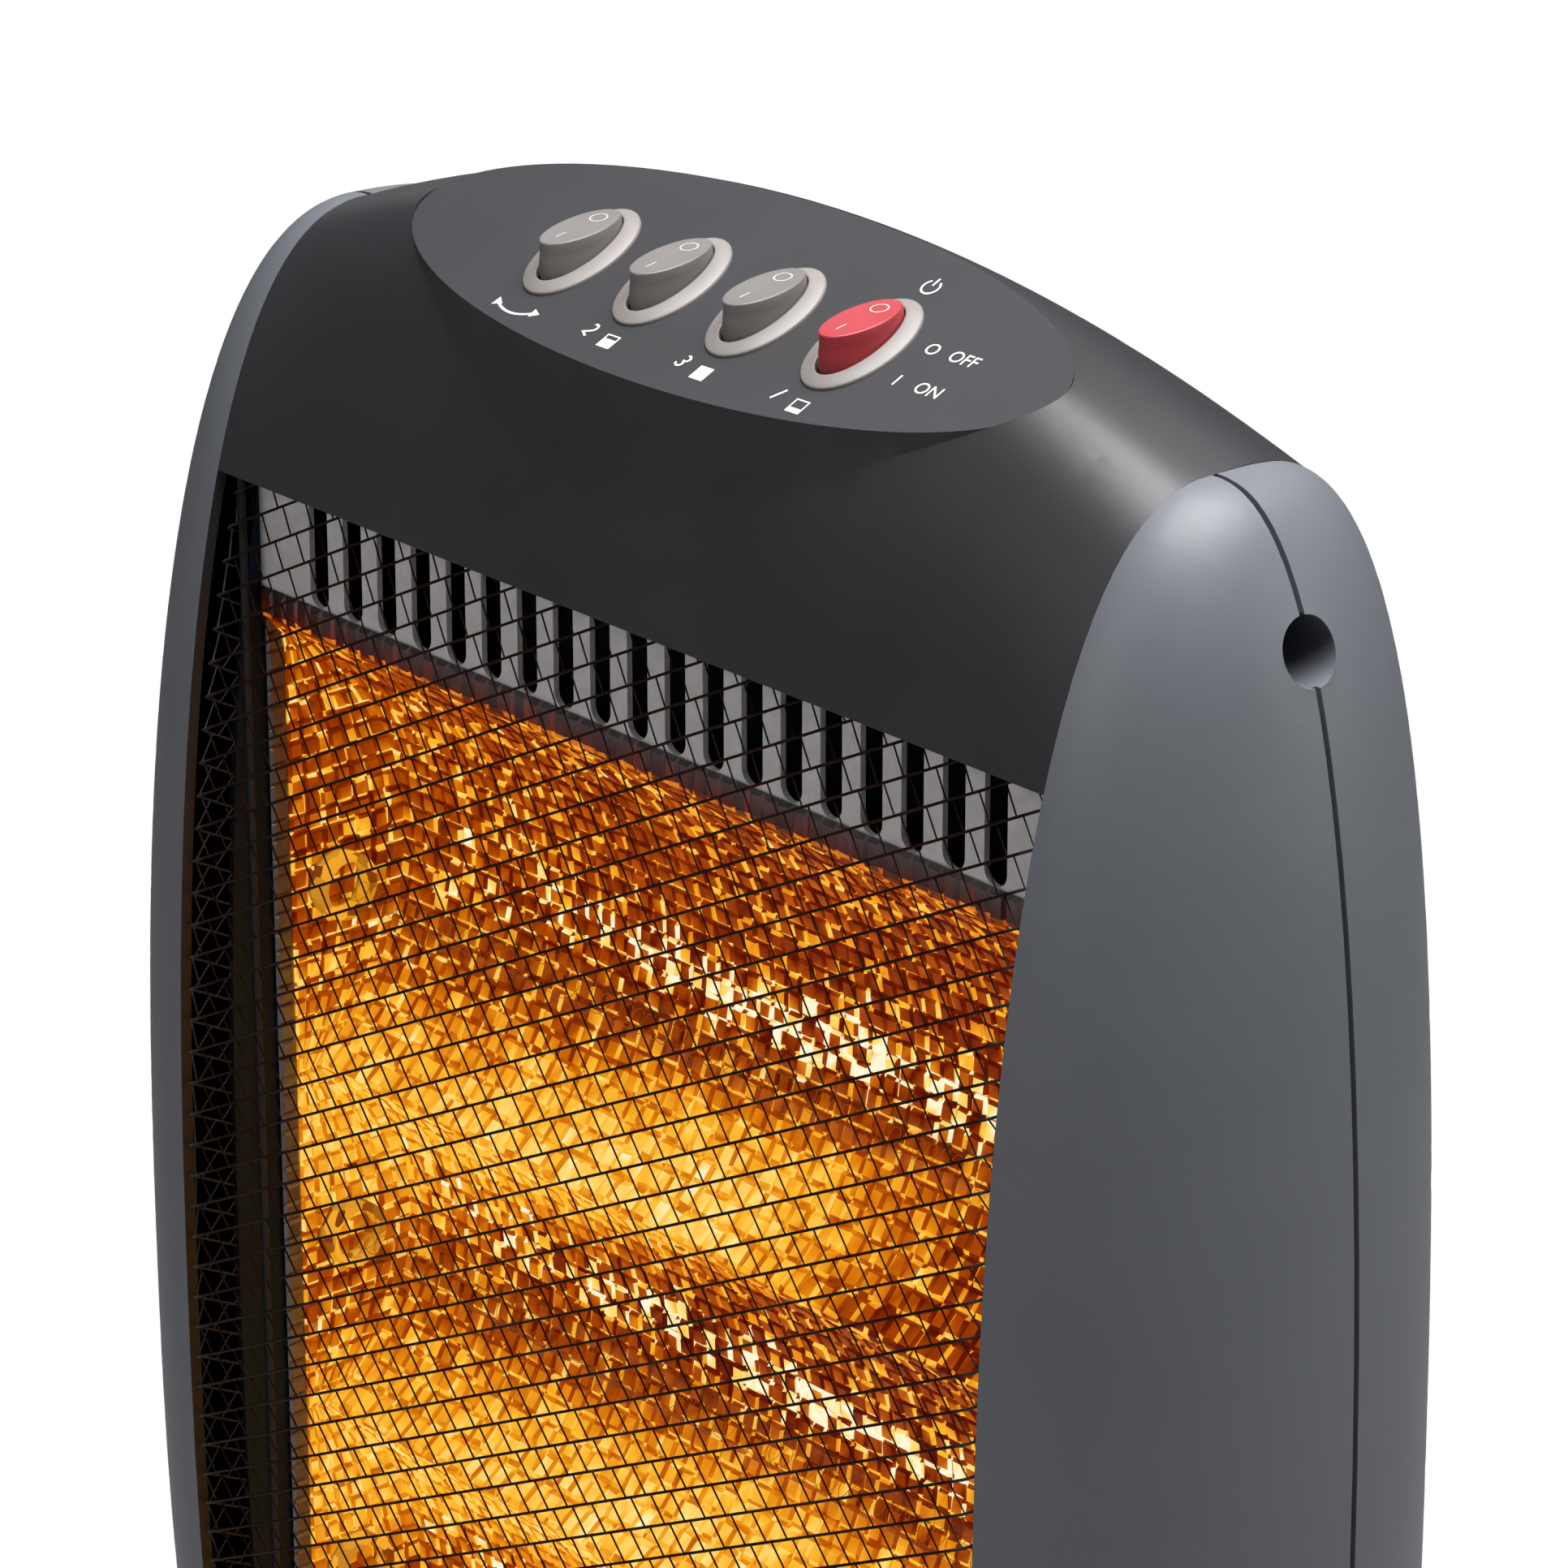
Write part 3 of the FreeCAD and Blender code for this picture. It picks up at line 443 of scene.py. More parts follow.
widest = sheetReach(0)
sheetRows = int((meshWire["halfTall"] + meshWire["slope"] * widest) / meshWire["rowPitch"]) + 1


# height of one slanting row of the sheet at a place across it
def rowHeight(row, u):
    return row * meshWire["rowPitch"] + meshWire["slope"] * u


def rowPath(row):
    count = int(2 * flatHalf / meshWire["step"])
    flat = [-flatHalf + 2 * flatHalf * k / count for k in range(count + 1)]
    folds = int((widest - flatHalf) / meshWire["foldStep"])
    fold = [flatHalf + (k + 1) * meshWire["foldStep"] for k in range(folds)]
    across = [-u for u in reversed(fold)] + flat + fold
    return [(u, rowHeight(row, u)) for u in across]


# a strand that steps from row to row and runs along each for the length of a bond
def barPath(start):
    spots = []
    u = start
    for row in range(sheetRows, -sheetRows - 1, -1):
        spots.append((u, rowHeight(row, u)))
        u += meshWire["bond"]
        spots.append((u, rowHeight(row, u)))
        u += meshWire["run"]
    return spots


def onSheet(u, z):
    return abs(z) <= meshWire["halfTall"] and abs(u) <= sheetReach(z)


# strands along the parts of their paths that lie on the sheet
def strandMesh(name, paths, radius, lift):
    kept = [[meshPoint(u, z, lift) for u, z in path if onSheet(u, z)] for path in paths]
    return wireMesh(name, [spots for spots in kept if len(spots) > 1], radius, 1)


# thick wire along the rear edge of each folded side
edgeX = meshWire["halfWide"] - meshWire["edgeRadius"]
edgeEnds = [(head["middle"] + z) * mm for z in (-meshWire["halfTall"], meshWire["halfTall"])]
edgePaths = [[(side * edgeX * mm, meshWire["edgeY"] * mm, z) for z in edgeEnds] for side in (1, -1)]
drift = 2 * sheetRows * (meshWire["bond"] + meshWire["run"])
bars = int((2 * widest + drift) / meshWire["cell"])
rowPaths = [rowPath(row) for row in range(-sheetRows, sheetRows + 1)]
barPaths = [barPath(-widest - drift + k * meshWire["cell"]) for k in range(bars + 1)]

grille = bmesh.new()
grille.from_mesh(wireMesh("edgeWires", edgePaths, meshWire["edgeRadius"], 3, caps=True))
grille.from_mesh(strandMesh("rowStrands", rowPaths, meshWire["rowRadius"], meshWire["rowLift"]))
grille.from_mesh(strandMesh("barStrands", barPaths, meshWire["barRadius"], meshWire["barLift"]))
smoothFaces(grille, sharp["wire"])
makePiece("grille_wire", grille, ["enamelledWire"], "head", ["grille_mesh"])
print("grille strands laid")


# reflector: three troughs of embossed sheet, then its slotted flange cut from the CAD sheet
reflector = {"flangeY": -22.983, "ridgeY": -12.983, "troughY": 8.517, "lip": 58.0, "pitch": 74.0,
             "halfWide": 110.9, "foot": 6.0, "proud": 0.2, "flangeOverlap": 0.5,
             "pillow": 3.8, "height": 0.55, "heightRange": (0.75, 1.2), "shoulder": 0.17,
             "lean": 0.14, "jitter": 0.04, "endColumns": 8, "endGap": 0.6, "shadeStrip": 4.3, "seed": 7}


def circleThrough(a, b, c):
    d = 2 * (a[0] * (b[1] - c[1]) + b[0] * (c[1] - a[1]) + c[0] * (a[1] - b[1]))
    squares = [p[0] ** 2 + p[1] ** 2 for p in (a, b, c)]
    u = (squares[0] * (b[1] - c[1]) + squares[1] * (c[1] - a[1]) + squares[2] * (a[1] - b[1])) / d
    v = (squares[0] * (c[0] - b[0]) + squares[1] * (a[0] - c[0]) + squares[2] * (b[0] - a[0])) / d
    return (u, v), math.hypot(a[0] - u, a[1] - v)


# points down the sheet from flange to flange, one pillow apart in height
def troughLine():
    edge = reflector["pitch"] + reflector["lip"]
    ridge = reflector["pitch"] / 2
    front = reflector["flangeY"] - reflector["proud"]
    stops = [(front, edge), (reflector["ridgeY"], ridge), (reflector["ridgeY"], -ridge), (front, -edge)]
    line = [(front, edge + reflector["foot"])]
    for step, (start, stop) in enumerate(zip(stops, stops[1:])):
        deepest = (reflector["troughY"], (1 - step) * reflector["pitch"])
        centre, radius = circleThrough(start, deepest, stop)
        rows = round((start[1] - stop[1]) / reflector["pillow"])
        for row in range(rows):
            z = start[1] + (stop[1] - start[1]) * row / rows
            line.append((centre[0] + math.sqrt(radius ** 2 - (z - centre[1]) ** 2), z))
    return line + [stops[-1], (front, -edge - reflector["foot"])]


# a sheet of pillows, each of a top, four sides and four corners; spot turns sheet places into head places
def embossSheet(columns, rows, seed, spot):
    rng = random.Random(seed)
    edge = reflector["shoulder"]
    most = reflector["lean"]
    stray = reflector["jitter"]
    stops = [0.0, edge, 1 - edge]
    bm = bmesh.new()
    made = bmesh.ops.create_grid(bm, x_segments=3 * columns, y_segments=3 * rows, size=0.5)
    bm.faces.index_update()
    parts = []
    for face in bm.faces:
        middle = face.calc_center_median()
        i = int((middle.x + 0.5) * 3 * columns)
        j = int((0.5 - middle.y) * 3 * rows)
        parts.append((i // 3, j // 3, i % 3, j % 3))
    lean = {(i, j): [rng.uniform(-most, most), rng.uniform(-most, most),
                     rng.uniform(*reflector["heightRange"])]
            for i in range(columns + 1) for j in range(rows + 1)}
    for vert in made["verts"]:
        column, across = divmod(round((vert.co.x + 0.5) * 3 * columns), 3)
        row, down = divmod(round((0.5 - vert.co.y) * 3 * rows), 3)
        u = column + stops[across]
        v = row + stops[down]
        raised = 0.0
        if across and down:
            tip = lean[column, row]
            raised = reflector["height"] * tip[2] + tip[0] * (across - 1.5) + tip[1] * (down - 1.5)
            u += rng.uniform(-stray, stray)
            v += rng.uniform(-stray, stray)
        vert.co = Vector(spot(u, v, raised)) * mm
    bmesh.ops.recalc_face_normals(bm, faces=bm.faces)
    return bm, parts


# glow painted on the sheet: a painted reflection streak and a painted dark strip of shade below it at each
# tube, a painted bright fan between the tubes
glow = {"slant": 0.03, "shift": 3.0, "streakHalf": 5.6, "streakGain": 1.5, "streakPower": 1.8,
        "shadeDrop": 11.0, "shadeHalf": 7.0, "shadeLoss": 0.75,
        "fanDrop": 34.0, "fanSlant": 0.19, "fanHalf": 16.0, "fanTaper": 0.08,
        "fanStart": 0.2, "fanRise": 0.25, "fanPeak": 0.7, "fanLoss": 0.5,
        "leftGain": 0.08, "fadeInset": 2.0, "fadeLength": 5.0, "blend": 0.36, "uneven": 0.12}
# levels of the painted glow on pillow tops and on their sides: painted glints, the painted fan, and the
# painted streak with dark gaps
topGlow = {"flashes": 0.9, "flash": 0.72, "least": 0.24, "range": 0.2, "shade": 0.06,
           "fanLeast": 0.86, "fanRange": 0.12, "streaks": 0.6, "streak": 1.06, "gap": 0.25}
sideGlow = {"flashes": (0.84, 0.74, 0.45), "flash": (0.68, 0.28), "plain": (0.12, 0.14),
            "fanLeast": 0.46, "fanRange": 0.46, "streaks": 0.45, "streak": 1.12, "gap": 0.15}


def limited(value):
    return min(1.0, max(0.0, value))


# how brightly the painted glow makes a facet shine, by its height under the nearest tube, its side of the
# heater and its place on the pillow; streaks, glints, dark strips and fan are painted reflections and
# painted shade
def glowLevel(x, z, across, down, tone, rng):
    left = limited(0.5 - 0.5 * x / reflector["halfWide"])
    drops = [step * reflector["pitch"] - z - glow["slant"] * x + glow["shift"] for step in (1, 0, -1)]
    below = min(drops, key=abs)
    streak = math.exp(-(below / glow["streakHalf"]) ** 2)
    streak *= min(1.0, glow["streakGain"] * (1 - left ** glow["streakPower"]))
    shade = math.exp(-(abs(below - glow["shadeDrop"]) / glow["shadeHalf"]) ** 3)
    shade *= 1 - glow["shadeLoss"] * left ** 2
    half = glow["fanHalf"] - glow["fanTaper"] * x
    fans = [math.exp(-(abs(drop - glow["fanDrop"] + glow["fanSlant"] * x) / half) ** 3)
            for drop in drops if drop > 0]
    fan = max(fans, default=0.0) * limited((left - glow["fanStart"]) / glow["fanRise"])
    fan *= 1 - glow["fanLoss"] * max(0.0, left - glow["fanPeak"])
    gain = glow["leftGain"] * left ** 2
    chance = rng.random()
    if across == 1 and down == 1:
        look = topGlow
        pick = tone
        plain = look["least"] + look["range"] * tone
        level = (look["flash"] if chance > look["flashes"] else plain) - look["shade"] * shade + gain
    else:
        look = sideGlow
        pick = chance
        least, most = look["flash"] if chance > look["flashes"][down] else look["plain"]
        level = least + most * rng.random() + gain
    level += fan * (look["fanLeast"] + look["fanRange"] * pick - level)
    if rng.random() < streak:
        level = look["streak"] if pick > look["streaks"] else look["gap"]
    edge = reflector["pitch"] + reflector["lip"] + reflector["foot"]
    fade = limited((edge - glow["fadeInset"] - abs(z)) / glow["fadeLength"])
    return max(0.0, level * fade)


# a corner's painted glow level lies between its own facet's and its neighbours', so that facets shade off
# as bent metal does
def lightFacets(bm, parts, seed):
    rng = random.Random(seed)
    tones = {}
    levels = []
    layer = bm.loops.layers.float.new("glow")
    for face, (column, row, across, down) in zip(bm.faces, parts):
        tone = tones.setdefault((column, row), rng.random())
        spot = face.calc_center_median() / mm
        levels.append(glowLevel(spot.x, spot.z - head["middle"], across, down, tone, rng))
    for face, level in zip(bm.faces, levels):
        for loop in face.loops:
            around = [levels[other.index] for other in loop.vert.link_faces]
            mixed = level + glow["blend"] * (sum(around) / len(around) - level)
            loop[layer] = mixed * (1 + rng.uniform(-glow["uneven"], glow["uneven"]))


trough = troughLine()
sheetColumns = round(2 * reflector["halfWide"] / reflector["pillow"])


def troughSpot(u, v, raised):
    row = min(int(v + 1e-6), len(trough) - 2)
    (y0, z0), (y1, z1) = trough[row], trough[row + 1]
    share = v - row
    run = math.hypot(y1 - y0, z1 - z0)
    x = -reflector["halfWide"] + u * 2 * reflector["halfWide"] / sheetColumns
    y = y0 + share * (y1 - y0) + raised * (z1 - z0) / run
    z = z0 + share * (z1 - z0) - raised * (y1 - y0) / run
    return x, y, head["middle"] + z


troughs, facets = embossSheet(sheetColumns, len(trough) - 1, reflector["seed"], troughSpot)
if sum(face.normal.y for face in troughs.faces) > 0:
    bmesh.ops.reverse_faces(troughs, faces=troughs.faces)
lightFacets(troughs, facets, reflector["seed"])
makePiece("reflector_troughs", troughs, ["paintedGlowReflector"], "head", ["reflector"])


def troughFloor(z):
    for (y0, z0), (y1, z1) in zip(trough[1:], trough[2:-1]):
        if z1 <= z <= z0:
            return y0 + (y1 - y0) * (z0 - z) / (z0 - z1)
    return reflector["flangeY"]


# one end of the reflector, embossed in the same way; its front strip has no painted glow and takes a
# darker copy of the sheet as painted shade
def addEndSheet(name, side):
    tall = reflector["pitch"] + reflector["lip"]
    rows = round(2 * tall / reflector["pillow"])

    def endSpot(u, v, raised):
        z = max(-tall, min(tall, tall - v * 2 * tall / rows))
        whole = troughFloor(z) - reflector["flangeY"]
        strip = min(reflector["shadeStrip"], 0.5 * whole)
        depth = strip * u
        if u >= 1:
            depth = strip + (whole - strip) * (u - 1) / (reflector["endColumns"] - 1)
        x = side * (reflector["halfWide"] - reflector["endGap"] - raised)
        return x, reflector["flangeY"] + depth, head["middle"] + z

    sheet, facets = embossSheet(reflector["endColumns"], rows, reflector["seed"] + side, endSpot)
    if side * sum(face.normal.x for face in sheet.faces) > 0:
        bmesh.ops.reverse_faces(sheet, faces=sheet.faces)
    lightFacets(sheet, facets, reflector["seed"] + side)
    for face, (column, row, across, down) in zip(sheet.faces, facets):
        face.material_index = 1 if column == 0 else 0
    makePiece("reflector_end_" + name + "_sheet", sheet, ["paintedGlowReflector", "shadedReflector"], "head",
              ["reflector_end_" + name])


for name, side in (("right", 1), ("left", -1)):
    addEndSheet(name, side)

flange = bmesh.new()
flange.from_mesh(frame["nodes"]["reflector"].data)
bmesh.ops.remove_doubles(flange, verts=flange.verts, dist=weldGap)
flangeFoot = (reflector["pitch"] + reflector["lip"] - reflector["flangeOverlap"]) * mm
for face in list(flange.faces):
    if abs(face.calc_center_median().z - head["middle"] * mm) < flangeFoot:
        flange.faces.remove(face)
bmesh.ops.delete(flange, geom=[v for v in flange.verts if not v.link_faces], context="VERTS")
smoothFaces(flange, sharp["flange"])
makePiece("reflector_flanges", flange, ["reflectionPaintedSheet"], "head")
print("reflector embossed")


# heating coils: thin turns of wire inside each tube
coil = {"radius": 2.2, "pitch": 3.2, "wire": 0.07, "reach": 106.0, "turnSteps": 12, "y": -7.983}
coilSteps = int(2 * coil["reach"] / coil["pitch"] * coil["turnSteps"])


def coilPoint(k, z):
    angle = 2 * math.pi * k / coil["turnSteps"]
    x = -coil["reach"] + 2 * coil["reach"] * k / coilSteps
    y = coil["y"] + coil["radius"] * math.cos(angle)
    return Vector((x, y, z + coil["radius"] * math.sin(angle))) * mm


for name, step in (("top", 1), ("middle", 0), ("bottom", -1)):
    axisZ = head["middle"] + step * reflector["pitch"]
    turns = bmesh.new()
    path = [coilPoint(k, axisZ) for k in range(coilSteps + 1)]
    turns.from_mesh(wireMesh("coilTurns", [path], coil["wire"], 0))
    smoothFaces(turns, sharp["wire"])
    makePiece("coil_" + name, turns, ["hotWire"], "head", ["heating_coil_" + name])
print("coils wound")


# the edges that meet at some corners, each once and always in the same order
def edgesAround(verts):
    return list(dict.fromkeys(edge for vert in verts for edge in vert.link_edges))


# a shell of stacked oval rings, each a half width, a half length and a height in millimetres
def ovalStack(rings, segments=48):
    bm = bmesh.new()
    ring = bmesh.ops.create_circle(bm, segments=segments, radius=1.0)["verts"]
    edges = edgesAround(ring)
    foot = list(edges)
    last = (1.0, 1.0, 0.0)
    for step, (wide, long, height) in enumerate(rings):
        if step:
            grown = bmesh.ops.extrude_edge_only(bm, edges=edges)["geom"]
            ring = [part for part in grown if isinstance(part, bmesh.types.BMVert)]
            edges = [part for part in grown if isinstance(part, bmesh.types.BMEdge)]
        bmesh.ops.scale(bm, vec=(wide / last[0], long / last[1], 1), verts=ring)
        bmesh.ops.translate(bm, vec=(0, 0, height - last[2]), verts=ring)
        last = (wide, long, height)
    bmesh.ops.contextual_create(bm, geom=edges)
    bmesh.ops.contextual_create(bm, geom=foot)
    bmesh.ops.recalc_face_normals(bm, faces=bm.faces)
    bmesh.ops.scale(bm, vec=(mm, mm, mm), verts=bm.verts)
    return bm


# rocker switches: oval bezel and housing in one shell, and a rounded rocker tilted in it
# brim: inset and height; crown: growth in width and length, and drop; edge: inset and drop
bezel = {"outer": (8.8, 12.8), "lip": (5.35, 10.05), "bore": (5.8, 10.2), "body": (7.3, 11.7),
         "bodyDepth": 20.0, "boreDepth": 18.0, "height": 1.4, "lipFoot": 0.2,
         "brim": ((0.0, 0.0), (0.0, 0.35), (0.1, 0.55), (0.35, 0.7)),
         "crown": ((0.6, 0.5, 0.0), (0.25, 0.2, 0.0), (0.06, 0.05, 0.1), (0.0, 0.0, 0.35))}
rocker = {"half": (5.2, 9.8), "crest": (4.9, 8.7), "top": 6.5, "waist": 4.6, "waistGrowth": 0.1,
          "belly": (-9.0, -7.6, -5.0, -1.5, 1.5, 3.4),
          "edge": ((0.0, 0.3), (0.06, 0.12), (0.2, 0.02), (0.45, 0.0))}
rockerMark = {"ring": 1.75, "ringLine": 0.3, "bar": (0.32, 2.4), "offset": 4.4}
switches = [("swivel", -1.5, "rockerGreyAbs"), ("heat_two", -0.5, "rockerGreyAbs"),
            ("heat_three", 0.5, "rockerGreyAbs"), ("power", 1.5, "rockerRedAbs")]


def bezelRings():
    wide, long = bezel["outer"]
    lipWide, lipLong = bezel["lip"]
    top = bezel["height"]
    rings = [(*bezel["body"], -bezel["bodyDepth"]), (*bezel["body"], 0.0)]
    rings += [(wide - inset, long - inset, height) for inset, height in bezel["brim"]]
    rings += [(lipWide + grow, lipLong + growLong, top - drop) for grow, growLong, drop in bezel["crown"]]
    rings += [(lipWide, lipLong, bezel["lipFoot"]), (*bezel["bore"], 0.0)]
    return rings + [(*bezel["bore"], -bezel["boreDepth"])]


def rockerRings():
    wide, long = rocker["half"]
    crestWide, crestLong = rocker["crest"]
    top = rocker["top"]
    rings = []
    for height in rocker["belly"]:
        share = math.sqrt(1 - (height / long) ** 2)
        rings.append((wide * share, long * share, height))
    rings.append((crestWide, crestLong + rocker["waistGrowth"], rocker["waist"]))
    rings += [(crestWide - inset, crestLong - inset, top - drop) for inset, drop in rocker["edge"]]
    return rings + [(crestWide * 0.5, crestLong * 0.5, top)]


def setOn(bm, matrix):
    bmesh.ops.transform(bm, matrix=matrix, verts=bm.verts)
    return bm


def flatRing(bm, radius, thickness, place, segments=24):
    matrix = Matrix.Translation(Vector(place) * mm)
    rims = []
    for reach in (radius, radius - thickness):
        rims += bmesh.ops.create_circle(bm, segments=segments, radius=reach * mm, matrix=matrix)["verts"]
    bmesh.ops.bridge_loops(bm, edges=edgesAround(rims))


def flatBar(bm, wide, long, place, turn=0.0):
    matrix = Matrix.Translation(Vector(place) * mm) @ Matrix.Rotation(turn, 4, "Z")
    matrix = matrix @ Matrix.Diagonal((wide * mm, long * mm, 1, 1))
    bmesh.ops.create_grid(bm, x_segments=1, y_segments=1, size=0.5, matrix=matrix)


inkLift = 0.04
for name, step, colour in switches:
    onSwitch = panelMatrix @ Matrix.Translation((step * panel["switchPitch"], 0, 0))
    onRocker = onSwitch @ Matrix.Translation((0, 0, -panel["pivotDrop"]))
    onRocker = onRocker @ Matrix.Rotation(-panel["restTilt"], 4, "X")
    shell = setOn(ovalStack(bezelRings()), onSwitch)
    smoothFaces(shell, sharp["switch"])
    makePiece("bezel_" + name, shell, ["bezelAbs"], "head", ["switch_housing_" + name])
    cap = setOn(ovalStack(rockerRings()), onRocker)
    smoothFaces(cap, sharp["switch"])
    body = "rocker_" + name
    makePiece(body + "_cap", cap, [colour], body, [body])
    marks = bmesh.new()
    markTop = rocker["top"] + inkLift
    flatRing(marks, rockerMark["ring"], rockerMark["ringLine"], (0, rockerMark["offset"], markTop))
    flatBar(marks, *rockerMark["bar"], (0, -rockerMark["offset"], markTop))
    makePiece(body + "_marks", setOn(marks, onRocker), ["rockerInk"], body)
print("switches set")


def printedWord(bm, words, size, place, turn=0.0):
    font = bpy.data.curves.new("word", "FONT")
    font.body = words
    font.size = size * mm
    font.align_x = "CENTER"
    font.align_y = "CENTER"
    letters = meshFromCurve(font)
    letters.transform(Matrix.Translation(Vector(place) * mm) @ Matrix.Rotation(turn, 4, "Z"))
    bm.from_mesh(letters)


def flatArc(bm, radius, thickness, centre, span, steps=14):
    first, last = span
    made = []
    for reach in (radius, radius - thickness):
        row = []
        for i in range(steps + 1):
            angle = math.radians(first + (last - first) * i / steps)
            spot = Vector(centre) + Vector((reach * math.cos(angle), reach * math.sin(angle), 0))
            row.append(bm.verts.new(spot * mm))
        made += [bm.edges.new(pair) for pair in zip(row, row[1:])]
    bmesh.ops.bridge_loops(bm, edges=made)


def arrowHead(bm, place, turn, size):
    matrix = Matrix.Translation(Vector(place) * mm) @ Matrix.Rotation(math.radians(turn), 4, "Z")
    bmesh.ops.create_circle(bm, cap_ends=True, segments=3, radius=size * mm, matrix=matrix)


# a square outline, filled from its foot by the share given
def levelSquare(bm, place, size, line, share):
    x, y, z = place
    for offset in (-0.5, 0.5):
        flatBar(bm, line, size + line, (x + offset * size, y, z))
        flatBar(bm, size, line, (x, y + offset * size, z))
    flatBar(bm, size, size * share, (x, y - size * (1 - share) / 2, z))


# plain white marks printed on the panel, placed in millimetres across and up from its middle
printing = {"row": -18.2,
            "arrow": {"radius": 9.0, "line": 0.5, "rise": 8.6, "span": (236, 304)},
            "tips": {"reach": 5.1, "rise": 1.4, "size": 1.3, "turns": ((-1, 145), (1, 35))},
            "numbers": {"size": 4.8, "across": -5.0, "rise": 2.0, "turn": math.radians(-30)},
            "squares": {"size": 3.1, "line": 0.3, "across": 1.2, "rise": 0.9},
            "power": {"radius": 2.0, "line": 0.4, "v": 17.2, "span": (125, 415), "bar": 2.0, "barV": 18.6},
            "words": {"size": 3.9, "u": 59.0, "markU": 51.2,
                      "rows": (("OFF", "O", 3.9), ("ON", "I", -5.0))}}
printed = bmesh.new()
pitch = panel["switchPitch"] / mm
row = printing["row"]
swivelX = -1.5 * pitch
arrow = printing["arrow"]
flatArc(printed, arrow["radius"], arrow["line"], (swivelX, row + arrow["rise"], inkLift), arrow["span"])
tips = printing["tips"]
for side, turn in tips["turns"]:
    place = (swivelX + side * tips["reach"], row + tips["rise"], inkLift)
    arrowHead(printed, place, turn, tips["size"])
numbers = printing["numbers"]
squares = printing["squares"]
for number, step in (("2", -0.5), ("3", 0.5), ("1", 1.5)):
    place = (step * pitch + numbers["across"], row + numbers["rise"], inkLift)
    printedWord(printed, number, numbers["size"], place, numbers["turn"])
    place = (step * pitch + squares["across"], row + squares["rise"], inkLift)
    levelSquare(printed, place, squares["size"], squares["line"], int(number) / 3)
power = printing["power"]
powerX = 1.5 * pitch
flatArc(printed, power["radius"], power["line"], (powerX, power["v"], inkLift), power["span"])
flatBar(printed, power["line"], power["bar"], (powerX, power["barV"], inkLift))
words = printing["words"]
for word, mark, v in words["rows"]:
    printedWord(printed, word, words["size"], (words["u"], v, inkLift))
    printedWord(printed, mark, words["size"], (words["markU"], v, inkLift))
makePiece("panel_marks", setOn(printed, panelMatrix), ["printInk"], "head")
print("panel printed")

cadFinish = {
    "plated_steel": "zincPlate", "screw_steel": "screwSteel", "quartz": "clearQuartz",
    "coil_wire": "hotWire", "ceramic": "glowPaintedSteatite", "bezel_plastic": "bezelAbs",
    "rocker_grey": "rockerGreyAbs", "rocker_red": "rockerRedAbs", "terminal_brass": "brassBlade",
    "cutout_plastic": "bakelite", "motor_metal": "motorCan", "ballast_iron": "castIron",
    "foot_rubber": "rubberBlack", "white_plastic": "whiteAcetal", "reflector_sheet": "reflectionPaintedSheet",
    "grille_paint": "enamelledWire", "black_plastic": "blackAbs", "base_plastic": "baseAbs",
    "grey_plastic": "greyAbs",
}
for node, shown in frame["nodes"].items():
    for materialSlot in shown.material_slots:
        materialSlot.material = finish[cadFinish[slotOfNode[node]]]
print("CAD nodes dressed")


# studio: pale floor that fades to white, soft lamps, white surround
studio = {"floorRadius": 1.6, "floorColour": "#cccccc", "fadeStart": 0.22, "fadeEnd": 0.46,
          "ambient": 0.105}
white = (1, 1, 1, 1)


# 1 where the view reaches a surface straight or through something clear
def directRay(tree):
    path = addNode(tree, "LightPath", {})
    return addMath(tree, "MAXIMUM", path.outputs["Is Camera Ray"], path.outputs["Is Transmission Ray"])


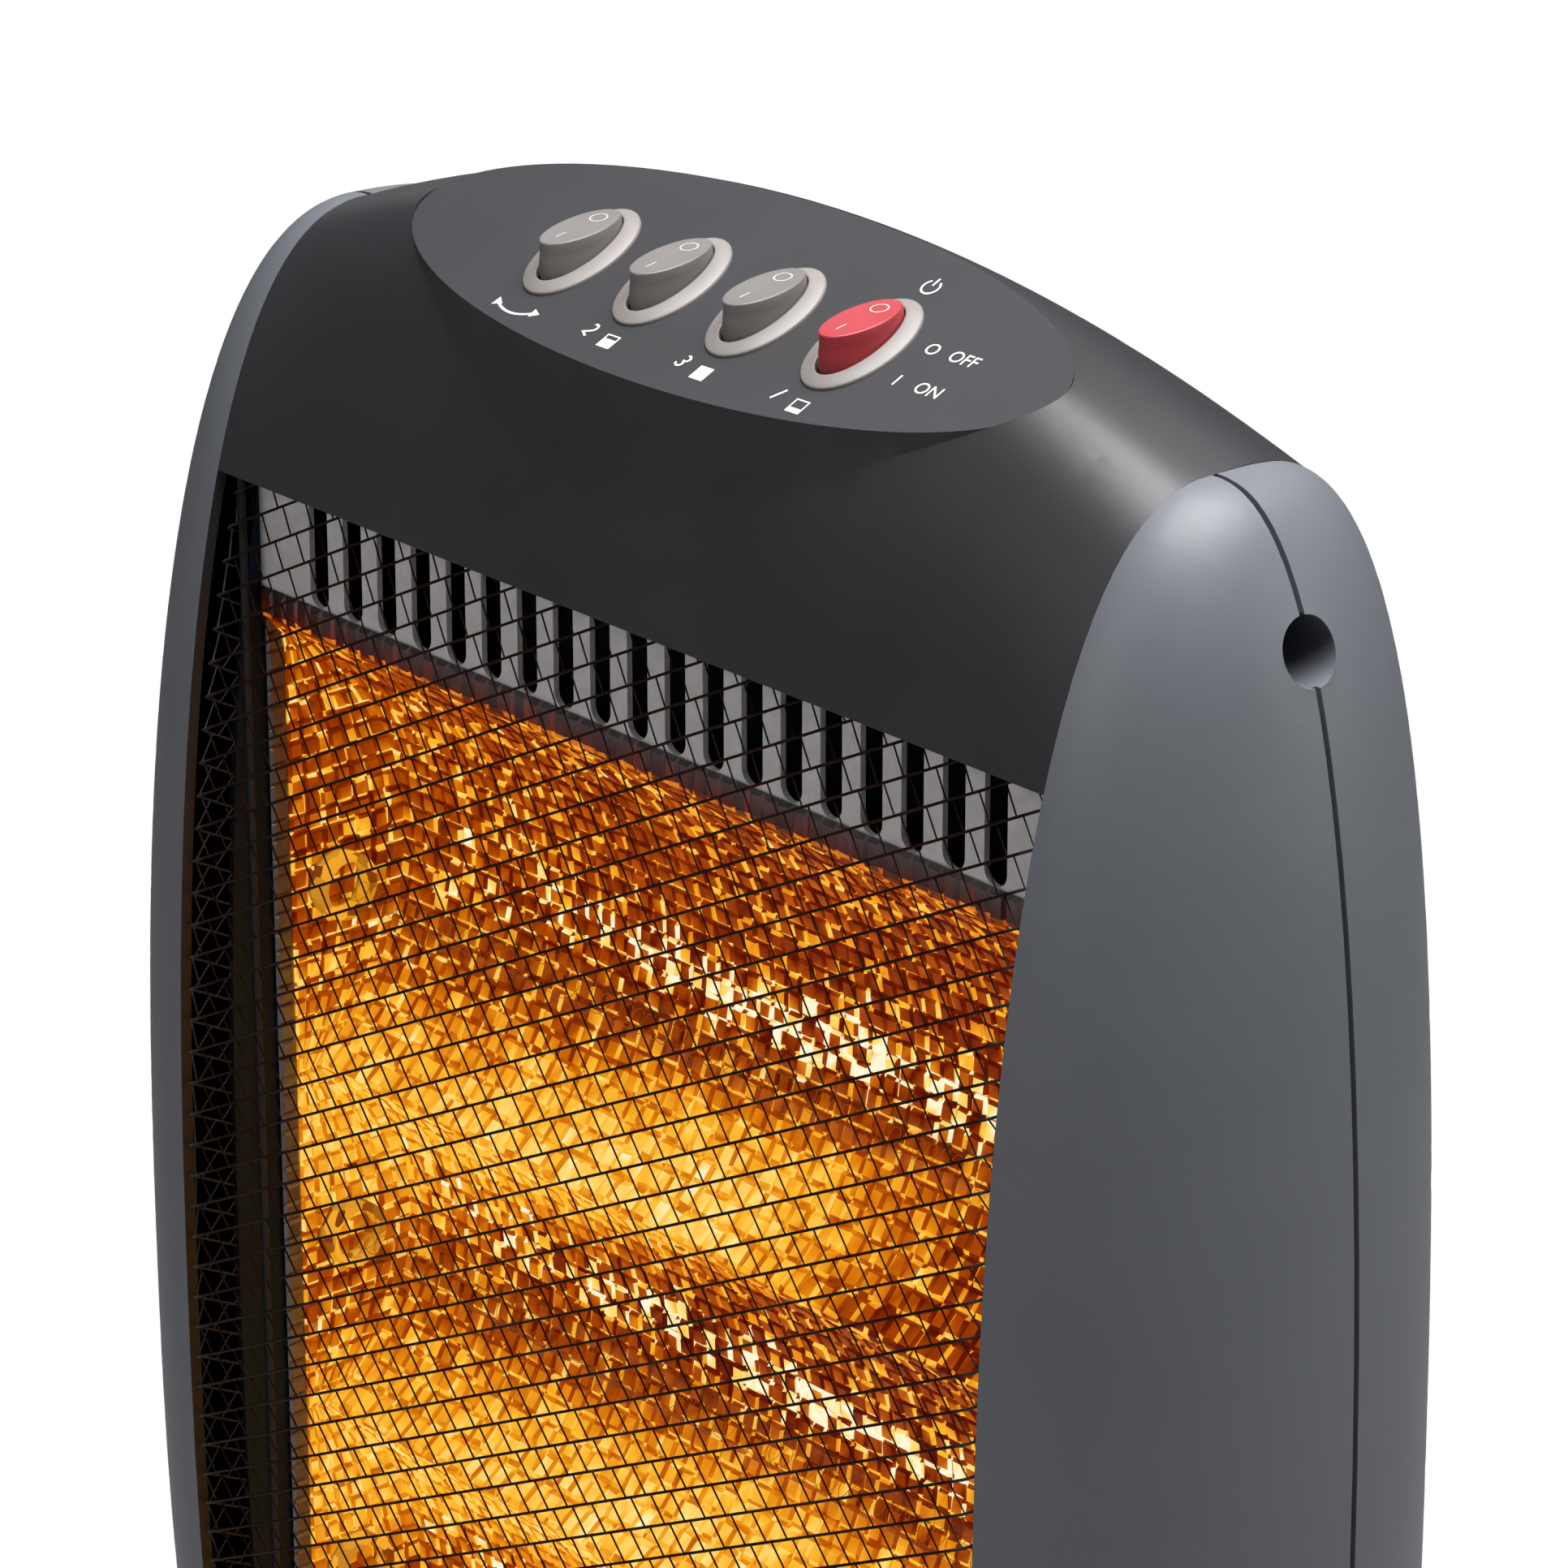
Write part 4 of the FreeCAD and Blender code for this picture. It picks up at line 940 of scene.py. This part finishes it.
# matt paper floor: grey under the heater for its shadow, plain white farther out
def paleFloor():
    material, tree = newMaterial("paleFloor")
    distance = addNode(tree, "VectorMath", {0: objectPlace(tree)}, operation="LENGTH")
    fade = progress(tree, distance.outputs["Value"], studio["fadeStart"], studio["fadeEnd"])
    amount = addMath(tree, "MULTIPLY", directRay(tree), fade)
    matt = addNode(tree, "BsdfDiffuse", {"Color": linearColour(studio["floorColour"])})
    bright = addNode(tree, "Emission", {"Color": white, "Strength": 1.0})
    mixed = addNode(tree, "MixShader", {"Fac": amount, 1: matt.outputs["BSDF"],
                                        2: bright.outputs["Emission"]})
    setSurface(tree, mixed.outputs["Shader"])
    return material


floorMesh = bmesh.new()
bmesh.ops.create_circle(floorMesh, cap_ends=True, segments=96, radius=studio["floorRadius"])
floorData = bpy.data.meshes.new("studio_floor")
floorMesh.to_mesh(floorData)
floorMesh.free()
floorData.materials.append(paleFloor())
floor = addObject("studio_floor", floorData)

world = bpy.data.worlds.new("studioWorld")
bpy.context.scene.world = world
world.use_nodes = True
surroundTree = world.node_tree
surroundTree.nodes.clear()
strength = spread(surroundTree, directRay(surroundTree), studio["ambient"], 1.0)
surround = addNode(surroundTree, "Background", {"Color": white, "Strength": strength})
addNode(surroundTree, "OutputWorld", {"Surface": surround.outputs["Background"]})

lamps = [
    dict(name="overheadSoftbox", place=(0.15, 0.05, 1.25), aim=(0.03, 0, 0.4), size=0.7, watts=18.5),
    dict(name="sideStrip", place=(1.5, 1.1, 0.9), aim=(0, 0, 0.35), size=0.8, watts=8),
    dict(name="frontFill", place=(-0.25, -1.6, 1.2), aim=(0, 0, 0.42), size=0.6, watts=4),
    dict(name="backPanel", place=(-1.5, 1.0, 1.35), aim=(0, 0, 0.5), size=1.1, watts=2.2),
]
for lamp in lamps:
    data = bpy.data.lights.new(lamp["name"], "AREA")
    data.shape = "SQUARE"
    data.size = lamp["size"]
    data.energy = lamp["watts"]
    light = addObject(lamp["name"], data)
    light.location = lamp["place"]
    light.visible_camera = False
    light.rotation_euler = (Vector(lamp["aim"]) - light.location).to_track_quat("-Z", "Y").to_euler()

# the photograph's view: 49 degrees to the object's right, looking down
view = {"place": (0.796146, -0.680888, 0.833153), "forward": (-0.7052, 0.6130, -0.3562), "lens": 143.53,
        "sensor": 36.0}
cameraData = bpy.data.cameras.new("photoCamera")
cameraData.sensor_width = view["sensor"]
cameraData.lens = view["lens"]
camera = addObject("photoCamera", cameraData)
camera.location = view["place"]
camera.rotation_euler = Vector(view["forward"]).to_track_quat("-Z", "Y").to_euler()
bpy.context.scene.camera = camera
bpy.context.scene.view_settings.view_transform = "Standard"
print("studio ready")
